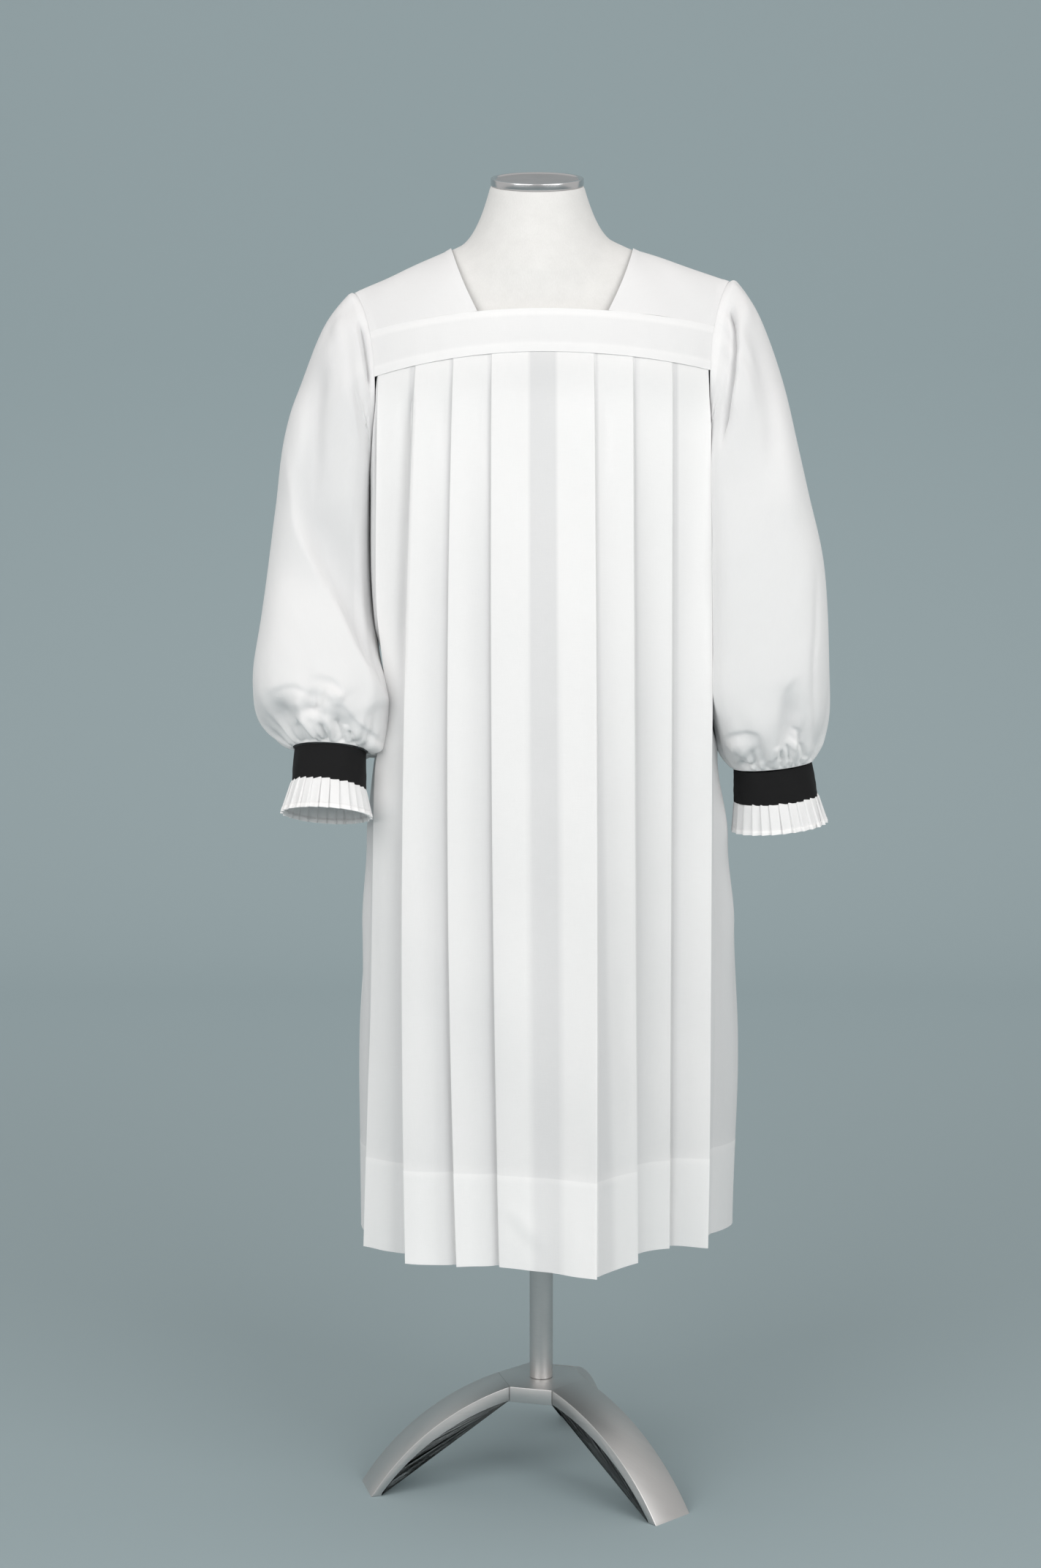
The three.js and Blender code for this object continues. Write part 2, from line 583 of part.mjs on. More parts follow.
// Negative inside the torso and neck, positive outside. The two are blended smoothly.
function formField(x, y, z) {
  const halfWidth = tableAt(TORSO, z, 'halfWidth');
  const halfDepth = tableAt(TORSO, z, 'halfDepth');
  const plan = { halfWidth, halfDepth, power: CLOTH_PLAN.power };
  const rise = Math.max(z - CHEST_Z, 0) / (shoulderLine(x) - SHOULDER_CLEARANCE - CHEST_Z);
  const beside = Math.abs(x) >= halfWidth;
  const torso = beside ? 1 : rise ** 2 + (y / planDepth(x, plan)) ** 2 - 1;
  const neckRadius = NECK.radius + Math.min(NECK.topZ - z, NECK.length) * NECK.flare;
  const neck = ((x - NECK.x) ** 2 + y ** 2) / neckRadius ** 2 - 1;
  const near = Math.max(NECK.blend - Math.abs(torso - neck), 0) / NECK.blend;
  return Math.min(torso, neck) - (near ** 2 * NECK.blend) / 4;
}

// A ring of the form at a height, on a plane that rises towards the back by a tilt.
function formRing(height, tilt) {
  const slope = Math.tan(degrees(tilt));
  return range(TORSO_COLUMNS).map((column) => {
    const angle = (column / TORSO_COLUMNS) * Math.PI * 2;
    const wide = height < NECK_POINT.z ? 2 : 1;
    const direction = new THREE.Vector2(Math.cos(angle) * wide, Math.sin(angle)).normalize();
    let near = 0;
    let far = CLOTH_PLAN.halfWidth * 1.1;
    while (far - near > 0.001) {
      const middle = (near + far) / 2;
      const y = direction.y * middle;
      const inside = formField(NECK.x + direction.x * middle, y, height + slope * y) < 0;
      if (inside) near = middle;
      else far = middle;
    }
    const y = direction.y * near;
    return new THREE.Vector3(NECK.x + direction.x * near, y, height + slope * y);
  });
}

function formTorso() {
  const rings = [
    { z: 790, tilt: 0 }, { z: 845, tilt: 0 }, { z: 905, tilt: 0 }, { z: 965, tilt: 0 },
    { z: 1025, tilt: 0 }, { z: 1115, tilt: 0 }, { z: 1205, tilt: 0 }, { z: 1275, tilt: 0 },
    { z: 1325, tilt: 0 }, { z: 1375, tilt: 0 }, { z: 1425, tilt: 0 }, { z: 1465, tilt: 0 },
    { z: 1495, tilt: 0 }, { z: 1507, tilt: 0 }, { z: 1519, tilt: 0 }, { z: 1539, tilt: 0 },
    { z: 1558, tilt: 0 }, { z: 1573, tilt: 2 }, { z: 1591, tilt: 5 }, { z: 1613, tilt: 10 },
    { z: NECK.topZ, tilt: NECK.tilt },
  ];
  return stackedRings(rings.map((ring) => formRing(ring.z, ring.tilt)));
}

// A solid turned about the upright axis, from a profile of radius and height.
function turned(profile, segments) {
  const points = profile.map(([radius, height]) => new THREE.Vector2(radius, height));
  return new THREE.LatheGeometry(points, segments).rotateX(Math.PI / 2);
}

function neckCap() {
  const { radius, height, edge } = CAP;
  return turned([
    [0, 0], [radius - edge, 0], [radius, edge],
    [radius, height - edge], [radius - edge, height], [0, height],
  ], 48);
}

// ---------------------------------------------------------------- the stand

function post() {
  const low = HUB.top + JOINT_GAP;
  const high = TORSO[0].z - JOINT_GAP;
  const flange = high - POST.flangeHeight;
  return turned([
    [0, low], [POST.radius, low], [POST.radius, flange],
    [POST.flangeRadius, flange], [POST.flangeRadius, high], [0, high],
  ], 32);
}

// Distance from the axis to the hub's faces that carry the legs.
const hubReach = (HUB.legFace + 2 * HUB.freeFace) / (2 * Math.sqrt(3));

// The hub: a six-sided block whose wider faces carry the legs.
function hub() {
  const outline = new THREE.Shape();
  const corners = LEG.azimuths.flatMap((azimuth) => [-1, 1].map((edge) => {
    const corner = new THREE.Vector2(hubReach, (edge * HUB.legFace) / 2);
    return corner.rotateAround(new THREE.Vector2(), degrees(azimuth));
  }));
  corners.sort((a, b) => a.angle() - b.angle());
  outline.setFromPoints(corners);
  const block = new THREE.ExtrudeGeometry(outline, { depth: HUB.height, bevelEnabled: false });
  return block.translate(0, 0, HUB.top - HUB.height);
}

// A leg: a flat bar along an arc from the hub to the floor, tapering in thickness.
function leg() {
  const start = new THREE.Vector2(hubReach + JOINT_GAP, HUB.top);
  const slopeAt = (share) => degrees(mix(LEG.rootSlope, LEG.footSlope, share));
  const run = (LEG.footRadius - start.x);
  const chord = Math.hypot(run, HUB.top);
  const top = [start];
  const bend = degrees(LEG.footSlope - LEG.rootSlope);
  const radius = chord / (2 * Math.sin(bend / 2));
  const lean = Math.atan2(HUB.top, run) - (slopeAt(0) + slopeAt(1)) / 2;
  for (const step of range(LEG.steps)) {
    const slope = mix(slopeAt(0), slopeAt(1), (step + 0.5) / LEG.steps) + lean;
    const length = (2 * radius * Math.sin(bend / LEG.steps / 2));
    const previous = top.at(-1);
    top.push(new THREE.Vector2(
      previous.x + length * Math.cos(slope),
      previous.y - length * Math.sin(slope),
    ));
  }
  const under = top.map((point, step) => {
    const share = step / LEG.steps;
    const slope = mix(slopeAt(0), slopeAt(1), share) + lean;
    const thickness = mix(LEG.rootThickness, LEG.footThickness, share);
    if (step === 0) return new THREE.Vector2(point.x, point.y - thickness);
    if (step === LEG.steps) return new THREE.Vector2(point.x - thickness / Math.sin(slope), 0);
    return new THREE.Vector2(
      point.x - thickness * Math.sin(slope),
      point.y - thickness * Math.cos(slope),
    );
  });
  top[LEG.steps].y = 0;
  const profile = new THREE.Shape([...top, ...under.reverse()]);
  const bar = new THREE.ExtrudeGeometry(profile, { depth: LEG.width, bevelEnabled: false });
  return bar.rotateX(Math.PI / 2).translate(0, LEG.width / 2, 0);
}

// ---------------------------------------------------------------- the whole

const COLOURS = {
  cloth: { color: 0xf4f4f3, roughness: 0.85, metalness: 0 },
  band: { color: 0x1f1f20, roughness: 0.8, metalness: 0 },
  cover: { color: 0xe2e1de, roughness: 0.9, metalness: 0 },
  chrome: { color: 0xb9b9ba, roughness: 0.15, metalness: 1 },
  steel: { color: 0xa9a8a8, roughness: 0.38, metalness: 1 },
};

const part = new THREE.Group();

function addPiece(name, geometry, finish) {
  const mesh = new THREE.Mesh(geometry, new THREE.MeshStandardMaterial(COLOURS[finish]));
  mesh.name = name;
  part.add(mesh);
  return mesh;
}

addPiece('yoke_front', yokeBand(YOKE.frontTop, YOKE.frontBottom, -1, 16, 2), 'cloth');
addPiece('yoke_back', yokeBand(YOKE.backTop, YOKE.backBottom, 1, 16, 5), 'cloth');
addPiece('front_panel', pleatedPanel(FRONT_PLEATS, -1), 'cloth');
addPiece('back_panel', pleatedPanel(BACK_PLEATS, 1), 'cloth');

for (const side of ['left', 'right']) {
  addPiece(`shoulder_${side}`, shoulderPiece(side, 5, 14), 'cloth');
  addPiece(`sleeve_${side}`, sleeve(side), 'cloth');
  addPiece(`wristband_${side}`, wristband(side), 'band');
  addPiece(`cuff_frill_${side}`, cuffFrill(side), 'cloth');
}

addPiece('form_torso', formTorso(), 'cover');
const cap = addPiece('neck_cap', neckCap(), 'chrome');
cap.position.set(NECK.x, 0, NECK.topZ + JOINT_GAP);
cap.rotation.x = degrees(NECK.tilt);

addPiece('post', post(), 'steel');
addPiece('stand_hub', hub(), 'steel');
for (const [index, azimuth] of LEG.azimuths.entries()) {
  const piece = addPiece(`stand_leg_${index + 1}`, leg(), 'steel');
  piece.rotation.z = degrees(azimuth);
}

export default part;
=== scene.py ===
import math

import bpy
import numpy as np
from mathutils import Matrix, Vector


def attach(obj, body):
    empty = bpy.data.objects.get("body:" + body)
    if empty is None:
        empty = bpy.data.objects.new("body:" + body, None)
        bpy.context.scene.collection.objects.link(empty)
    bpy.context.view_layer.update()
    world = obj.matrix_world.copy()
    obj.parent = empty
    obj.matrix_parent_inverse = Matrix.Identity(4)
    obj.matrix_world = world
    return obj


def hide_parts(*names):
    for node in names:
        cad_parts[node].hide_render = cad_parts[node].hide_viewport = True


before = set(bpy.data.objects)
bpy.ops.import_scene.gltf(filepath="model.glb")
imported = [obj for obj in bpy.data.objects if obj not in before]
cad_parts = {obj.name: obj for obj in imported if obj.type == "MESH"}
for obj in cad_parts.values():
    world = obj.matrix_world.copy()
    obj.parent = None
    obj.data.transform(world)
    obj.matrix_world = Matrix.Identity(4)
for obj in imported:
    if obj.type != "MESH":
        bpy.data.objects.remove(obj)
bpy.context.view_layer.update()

# A white rochet on a limbless dress form. Every cloth piece is a thin shell on the form of its
# CAD solid, made from the same sizes, with its folds, gathers, hems and seams added to it.
# Sizes are in millimetres here, with the frame's axes, and go into Blender in metres.

MM = 0.001

# ------------------------------------------------------------------ sizes shared with the solids

HEM_Z = 325
CHEST_Z = 1355
NECK_POINT = (112, 1559)
SHOULDER_SLOPE = {"left": 0.45, "right": 0.33}
NECK_SLOPE = 0.45
PLAN = (240, 130, 2.2)

YOKE_FRONT_TOP, YOKE_FRONT_BOTTOM = 1478, 1426
YOKE_BACK_TOP, YOKE_BACK_BOTTOM = 1527, 1437
YOKE_DROOP = {YOKE_FRONT_TOP: (22, 16), YOKE_FRONT_BOTTOM: (27, 19)}
NECKLINE = {"front": 78, "back": 88}

ARM_TIP_X, ARM_CHEST_X, ARM_UNDER_X = 232, 204, 213
ARM_UNDER_Y, ARM_UNDER_Z, ARM_CURVE = 4, 1286, 1.45

PLEAT_RETURN = 46
HEM_RETURN = 49
LAYER_STEP = 1.9
BASE_INSET = 5.6

# A pleat's folded edge at the yoke, waist and hem, then how it hangs at the hem.
PLEAT_COLUMNS = ("yoke", "waist", "hem", "y", "step", "back")
FRONT_PLEATS = {
    "left": [(61, 61, 52, -190, 11, 14), (107, 115, 104, -187, 14, 26),
             (153, 170, 167, -171, 55, 32), (199, 208, 221, -93, 56, 33)],
    "right": [(61, 65, 64, -241, 13, 27), (108, 112, 116, -177, 51, 31),
              (156, 158, 158, -107, 17, 14), (201, 209, 206, -103, 60, 35)],
}
BACK_PLEATS = {
    "left": [(66, 68, 70, -226, 24, 24), (128, 134, 136, -196, 38, 28),
             (190, 194, 200, -128, 42, 30)],
    "right": [(66, 66, 62, -216, 30, 22), (128, 130, 128, -205, 34, 26),
              (190, 196, 202, -134, 44, 30)],
}
SIDE_SEAM_Z = (325, 555, 715, 825, 930, 1075, 1286)
SIDE_SEAM = {
    "left": (232, 233, 226, 218, 210, 209, 213),
    "right": (247, 252, 246, 233, 217, 214, 213),
}
SIDE_SEAM_HEM_Y = 30
SLEEVE_PRESS = {"z": 990, "depth": 15, "above": 90, "below": 42, "start": 176, "fade": 30}
SIDE_POINTS = ((96, 0.12), (109, 0.27), (122, 0.42), (136, 0.58), (150, 0.74), (165, 0.87), (180, 1))

# Rings down a sleeve: outer x and z, inner x and z, centre y, half depth, lift of the front,
# and how far the front and back lie nearer the body.
SLEEVE_RINGS = {
    "left": [
        (242, 1502, 215, 1279, 2, 68, 0, 12), (271, 1462, 217, 1259, 0, 86, 0, 8),
        (298, 1393, 216, 1230, -2, 88, 0, 3), (318, 1325, 215, 1200, -5, 87, 0, 0),
        (329, 1245, 213, 1155, -9, 83, 2, 0), (339, 1170, 209, 1105, -18, 78, 8, 0),
        (347, 1105, 203, 1055, -36, 78, 16, 0), (355, 1040, 194, 1005, -54, 78, 22, 0),
        (351, 997, 195, 965, -69, 74, 22, 0), (335, 968, 199, 945, -78, 60, 20, 0),
        (306, 948, 214, 943, -85, 38, 12, 0),
    ],
    "right": [
        (243, 1518, 215, 1279, 2, 68, 0, 12), (270, 1476, 217, 1261, 0, 87, 0, 8),
        (297, 1401, 217, 1235, -4, 90, 0, 3), (314, 1331, 217, 1205, -8, 90, 0, 0),
        (331, 1260, 217, 1168, -12, 89, 0, 0), (349, 1185, 217, 1120, -14, 87, 0, 0),
        (356, 1115, 218, 1067, -16, 85, 0, 0), (358, 1045, 219, 1010, -18, 83, 0, 0),
        (356, 990, 220, 965, -20, 77, 0, 0), (349, 955, 222, 939, -21, 62, -2, 0),
        (340, 928, 239, 917, -22, 39, -4, 0),
    ],
}
CUFFS = {
    "left": {"top": (304, 946, 216, 941, -85, 37, 12, 0), "end": (307, 906, 216, 896, -98, 37, 12, 0),
             "frill": (320, 869, 207, 863, -112, 47, 15, 0)},
    "right": {"top": (338, 926, 240, 915, -22, 38, -4, 0), "end": (346, 884, 241, 875, -23, 39, -5, 0),
              "frill": (359, 850, 238, 837, -24, 50, -5, 0)},
}
FRILL_PLEATS = 26
INNER_CORNER = {"left": 0.66, "right": 0.48}
SLEEVE_SQUARES = (1, 0.9, 0.8, 0.74, 0.72, 0.72, 0.72, 0.74, 0.78, 0.86, 1)

TORSO = [
    (790, 166, 112), (905, 176, 120), (1015, 164, 110), (1115, 154, 102), (1215, 166, 108),
    (1305, 190, 116), (1355, 205, 118), (1425, 229, 118), (1675, 231, 118),
]
SHOULDER_CLEARANCE = 0.8
NECK_X, NECK_TOP_Z, NECK_TILT = -6, 1637.5, 15
NECK_LENGTH, NECK_RADIUS, NECK_FLARE, NECK_BLEND = 110, 57.5, 0.28, 0.5
CAP_RADIUS, CAP_HEIGHT = 57.5, 9
CAP_RIM, CAP_SINK = (4.5, 6.5), 1.6      # its rim's flat and full width, and the disc's depth
TURNED_GIRTH = 0.36                     # girth in metres that a turned piece's UVs stand for
JOINT_GAP = 0.3
POST_RADIUS, FLANGE_RADIUS, FLANGE_HEIGHT = 15, 48, 6
HUB_TOP, HUB_HEIGHT, HUB_LEG_FACE, HUB_FREE_FACE = 128, 20, 62, 55
LEG = {"width": 62, "foot": 230, "root_thick": 19, "foot_thick": 10,
       "root_slope": 12, "foot_slope": 54, "azimuths": (194.5, 314.5, 74.5)}

# The finer cloth of the visual pieces.
LAYER = 0.7                     # thickness of one layer of cloth
DOUBLE = 1.15                   # thickness where it is turned over
HEM_HEIGHT = 112                # depth of the turned-up hem
SEAM_STRIP = 12.5               # width of the allowances along the pleats' seam
TOP_STRIP = 9                   # width of the allowances along the neckline
LAP_EDGE = 2                    # roundness of the edge where one fold laps over another
HUG = {"left": 4, "right": 13}  # how far body and sleeve lie nearer the body than the solids
HUG_Z = ((940, 1000), (1360, 1240))   # the heights over which that sets in and ends


# ------------------------------------------------------------------ helpers

def mix(a, b, share):
    return a + (b - a) * share


def smooth(low, high, value):
    """0 at low, 1 at high, with a soft step between them. low may be the larger of the two."""
    share = np.clip((value - low) / (high - low), 0, 1)
    return share * share * (3 - 2 * share)


def between(rise, fade, value):
    """A soft window: it opens over the range rise and closes over the range fade."""
    return smooth(*rise, value) * smooth(*fade, value)


def bell(value, width, centre=0):
    """1 at the centre and almost nothing two widths from it."""
    return np.exp(-(((value - centre) / width) ** 2))


def sign_of(side):
    return -1 if side == "left" else 1


def unit(vectors):
    return vectors / np.maximum(np.linalg.norm(vectors, axis=-1, keepdims=True), 1e-9)


def wobble(seed, count=6, low=0.6, high=2.4):
    """A smooth seeded waviness: a function of one value that stays near -1 to 1."""
    rng = np.random.default_rng(seed)
    waves = rng.uniform(low, high, count)
    phases = rng.uniform(0, 2 * math.pi, count)
    heights = rng.uniform(0.4, 1, count)

    def value(t):
        total = sum(h * np.sin(w * t + p) for w, p, h in zip(waves, phases, heights))
        return total / heights.sum() * 1.6
    return value


def through_rows(knots, places):
    """Smooth lines through rows of points, at given places counted in rows."""
    last = len(knots) - 1
    i = np.clip(np.floor(places).astype(int), 0, last - 1)
    t = (places - i)[:, None, None]
    p0, p1 = knots[np.maximum(i - 1, 0)], knots[i]
    p2, p3 = knots[i + 1], knots[np.minimum(i + 2, last)]
    return 0.5 * (2 * p1 + (p2 - p0) * t + (2 * p0 - 5 * p1 + 4 * p2 - p3) * t**2
                  + (3 * p1 - p0 - 3 * p2 + p3) * t**3)


def along(path, x, z, steps=6):
    """How far each point lies from a smooth line through a given path (positive on its
    left), and its share of the way along it."""
    points = np.asarray(path, float)
    last = len(points) - 1
    line = through_rows(points[:, None, :], np.linspace(0, last, last * steps + 1))[:, 0]
    lengths = np.hypot(*(line[1:] - line[:-1]).T)
    start = np.concatenate(([0], np.cumsum(lengths)))
    best = np.full(np.shape(x), np.inf)
    side, share = np.zeros(np.shape(x)), np.zeros(np.shape(x))
    for i, length in enumerate(lengths):
        (ax, az), (bx, bz) = line[i], line[i + 1]
        t = np.clip(((x - ax) * (bx - ax) + (z - az) * (bz - az)) / length**2, 0, 1)
        gap = np.hypot(x - mix(ax, bx, t), z - mix(az, bz, t))
        nearer = gap < best
        best = np.where(nearer, gap, best)
        share = np.where(nearer, (start[i] + t * length) / start[-1], share)
        side = np.where(nearer, np.sign((bx - ax) * (z - az) - (bz - az) * (x - ax)), side)
    return best * side, share


def faded(fade_in, fade_out, share):
    return smooth(0, fade_in, share) * smooth(0, fade_out, 1 - share)


def folds_relief(folds, x, z):
    """Sum of soft ridges and troughs: each is (height, width, fade in, fade out, path)."""
    total = np.zeros(np.shape(x))
    for height, width, fade_in, fade_out, path in folds:
        gap, share = along(path, x, z)
        total += height * bell(gap, width) * faded(fade_in, fade_out, share)
    return total


def overlaps_relief(folds, x, z):
    """Sum of folds that lap over what lies beside them: each is (rise, its reach, sink, its
    reach, length of the fall, fade in, fade out, path). The risen side is on the path's left."""
    total = np.zeros(np.shape(x))
    for rise, high, sink, low, fall, fade_in, fade_out, path in folds:
        gap, share = along(path, x, z)
        upper = rise * np.exp(-np.abs(gap) / high)
        lower = -sink * np.exp(-np.abs(gap) / low)
        below = (np.hypot(gap, LAP_EDGE) - gap) / 2
        total += mix(lower, upper, np.exp(-below / fall)) * faded(fade_in, fade_out, share)
    return total


def edge_relief(edges, distance):
    """Relief beside an edge: each row is (height, width, its distance from the edge)."""
    return sum(height * bell(distance, width, centre) for height, width, centre in edges)


def hug_share(z):
    return between(*HUG_Z, z)


# ------------------------------------------------------------------ meshes

def quads(rows, columns, ring):
    """Corner numbers of the faces of a grid of points, each starting at its upper left."""
    spans = columns if ring else columns - 1
    row, column = np.meshgrid(np.arange(rows - 1), np.arange(spans), indexing="ij")
    here, beside = row * columns + column, row * columns + (column + 1) % columns
    return np.stack([here, here + columns, beside + columns, beside], -1).reshape(-1, 4)


def turned(faces):
    """The same faces looking the other way."""
    return np.roll(faces[:, ::-1], 1, 1)


def shell_faces(rows, columns, ring):
    """Faces of a shell whose inner points follow its outer ones: both sides, then its borders."""
    size = rows * columns
    outer = quads(rows, columns, ring)

    def border(near, far):
        return np.stack([near, far, far + size, near + size], -1)

    across = np.arange(columns if ring else columns - 1)
    beside = (across + 1) % columns
    last = (rows - 1) * columns
    borders = [border(across, beside), turned(border(last + across, last + beside))]
    if not ring:
        first = np.arange(rows - 1) * columns
        end = first + columns - 1
        borders += [turned(border(first, first + columns)), border(end, end + columns)]
    return np.concatenate([outer, turned(outer) + size] + borders), 2 * len(outer)


def new_mesh(name, points, faces):
    """A mesh from points in millimetres."""
    mesh = bpy.data.meshes.new(name)
    mesh.from_pydata((np.asarray(points, float) * MM).tolist(), [], faces)
    mesh.validate()
    return mesh


def new_piece(mesh, *materials):
    for material in materials:
        mesh.materials.append(material)
    piece = bpy.data.objects.new(mesh.name, mesh)
    bpy.context.collection.objects.link(piece)
    return piece


def shade_metal(mesh, angle=40):
    mesh.shade_smooth()
    mesh.set_sharp_from_angle(angle=math.radians(angle))


def mark_sharp(mesh, is_sharp):
    """Mark as sharp the edges for whose two ends, given as point numbers, is_sharp holds."""
    ends = np.zeros(len(mesh.edges) * 2, np.int32)
    mesh.edges.foreach_get("vertices", ends)
    mark = mesh.attributes.new("sharp_edge", "BOOLEAN", "EDGE")
    mark.data.foreach_set("value", is_sharp(ends.reshape(-1, 2)))


def grid_normals(points, ring):
    """Outward-pointing normals of a grid of points, rows down and columns across."""
    down = np.gradient(points, axis=0)
    if ring:
        across = np.roll(points, -1, axis=1) - np.roll(points, 1, axis=1)
    else:
        across = np.gradient(points, axis=1)
    return unit(np.cross(down, across))


def lengths_down(points):
    """How far each point of a grid lies from the top of its column, along the cloth."""
    down = np.linalg.norm(np.diff(points, axis=0), axis=-1)
    return np.pad(np.cumsum(down, axis=0), ((1, 0), (0, 0)))


def lay_weave(mesh, points, ring):
    """UVs in metres along and across the cloth, so that its threads keep their size."""
    u = lengths_down(points.swapaxes(0, 1)).T * MM
    v = lengths_down(points) * MM
    u = u - u.mean(axis=1, keepdims=True)
    place = np.tile(np.stack([u, v], -1).reshape(-1, 2), (2, 1))
    loops = np.zeros(len(mesh.loops), np.int32)
    mesh.loops.foreach_get("vertex_index", loops)
    corners = place[loops].reshape(-1, 4, 2)
    if ring:
        columns = points.shape[1]
        girth = np.ptp(u, axis=1).mean() * columns / (columns - 1)
        wraps = np.ptp(corners[..., 0], axis=1) > girth / 2
        corners[wraps, :, 0] += np.where(corners[wraps, :, 0] < 0, girth, 0)
    uv = mesh.uv_layers.new(name="cloth")
    uv.data.foreach_set("uv", corners.reshape(-1).astype(np.float32))


def cloth_shell(name, points, thickness, layers, material, ring=False, flip=False):
    """A closed thin shell round a grid of points. layers tints it: 0 single, 1 many layers; on the sleeves
    and pleat faces it also carries painted shade.
    """
    rows, columns = points.shape[:2]
    thickness = np.broadcast_to(np.asarray(thickness, float), (rows, columns))
    layers = np.broadcast_to(np.asarray(layers, float), (rows, columns))
    if flip:
        points, thickness, layers = points[:, ::-1], thickness[:, ::-1], layers[:, ::-1]
    half = grid_normals(points, ring) * thickness[..., None] / 2
    faces, smooth_count = shell_faces(rows, columns, ring)
    sides = np.concatenate([(points + half).reshape(-1, 3), (points - half).reshape(-1, 3)])
    mesh = new_mesh(name, sides, faces.tolist())
    lay_weave(mesh, points, ring)
    tint = mesh.attributes.new("layers", "FLOAT", "POINT")
    tint.data.foreach_set("value", np.tile(layers.reshape(-1), 2).astype(np.float32))
    mesh.polygons.foreach_set("use_smooth", np.arange(len(faces)) < smooth_count)

    def on_border(ends):
        row, column = np.divmod(ends % (rows * columns), columns)
        sharp = (row == 0).all(1) | (row == rows - 1).all(1)
        if not ring:
            sharp |= (column == 0).all(1) | (column == columns - 1).all(1)
        return sharp

    mark_sharp(mesh, on_border)
    return new_piece(mesh, material)


def put_on(piece, node):
    """A piece rides on the row's one body and stands for its CAD node, which it hides."""
    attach(piece, "root")
    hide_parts(node)


# ------------------------------------------------------------------ the shoulders' surface

def shoulder_line(x):
    past = np.abs(x) - NECK_POINT[0]
    outside = np.where(np.asarray(x) < 0, SHOULDER_SLOPE["left"], SHOULDER_SLOPE["right"])
    return NECK_POINT[1] - past * np.where(past < 0, NECK_SLOPE, outside)


def plan_depth(x, half_width=PLAN[0], half_depth=PLAN[1]):
    share = np.clip(np.abs(x) / half_width, 0, 1)
    return half_depth * (1 - share ** PLAN[2]) ** (1 / PLAN[2])


def shoulder_point(x, turn):
    x, turn = np.broadcast_arrays(np.asarray(x, float), np.asarray(turn, float))
    y = -plan_depth(x) * np.cos(turn)
    z = CHEST_Z + (shoulder_line(x) - CHEST_Z) * np.sin(turn)
    return np.stack([x, y, z], -1)


def shoulder_normal(x, turn):
    across = shoulder_point(x + 0.5, turn) - shoulder_point(x - 0.5, turn)
    over = shoulder_point(x, turn + 0.004) - shoulder_point(x, turn - 0.004)
    return unit(np.cross(across, over))


def raised_point(x, turn, out):
    return shoulder_point(x, turn) + shoulder_normal(x, turn) * np.asarray(out)[..., None]


def turn_at(x, z, facing):
    rise = np.clip((z - CHEST_Z) / (shoulder_line(x) - CHEST_Z), -1, 1)
    turn = np.arcsin(rise)
    return turn if facing < 0 else math.pi - turn


def armhole_point(side, angle):
    """Points of the armhole seam. angle is 0 at the shoulder and a quarter turn at the front."""
    sign = sign_of(side)
    angle = np.asarray(angle, float)
    forward = np.sin(angle)
    reach = np.abs(forward)
    top = float(shoulder_line(sign * ARM_TIP_X))
    z = mix(ARM_UNDER_Z, top, (1 + np.cos(angle)) / 2)
    upper_x = mix(ARM_TIP_X, ARM_CHEST_X, reach ** ARM_CURVE)
    turn = turn_at(sign * upper_x, z, -1)
    turn = np.where(forward < 0, math.pi - turn, turn)
    upper = shoulder_point(sign * upper_x, turn)
    level = mix(ARM_UNDER_Z, top, 0.5)
    chest_y = shoulder_point(ARM_CHEST_X, turn_at(ARM_CHEST_X, level, -1))[..., 1]
    lower = np.stack([
        sign * mix(ARM_UNDER_X, ARM_CHEST_X, reach),
        mix(ARM_UNDER_Y, np.sign(forward) * chest_y, reach ** np.where(forward > 0, 0.6, 1)),
        z,
    ], -1)
    return np.where((np.cos(angle) >= 0)[..., None], upper, lower)


def armhole_x(side, z):
    top = float(shoulder_line(sign_of(side) * ARM_TIP_X))
    share = np.clip((z - ARM_UNDER_Z) / (top - ARM_UNDER_Z), 0, 1)
    reach = np.sin(np.arccos(2 * share - 1))
    return mix(ARM_TIP_X, ARM_CHEST_X, reach ** ARM_CURVE)


def seam_height(centre, x):
    """Height of a yoke seam: level in the middle, drooping to each armhole by its own amount."""
    left, right = YOKE_DROOP.get(centre, (26, 26))
    return centre - np.where(np.asarray(x) < 0, left, right) * (np.abs(x) / ARM_CHEST_X) ** 2


# ------------------------------------------------------------------ materials

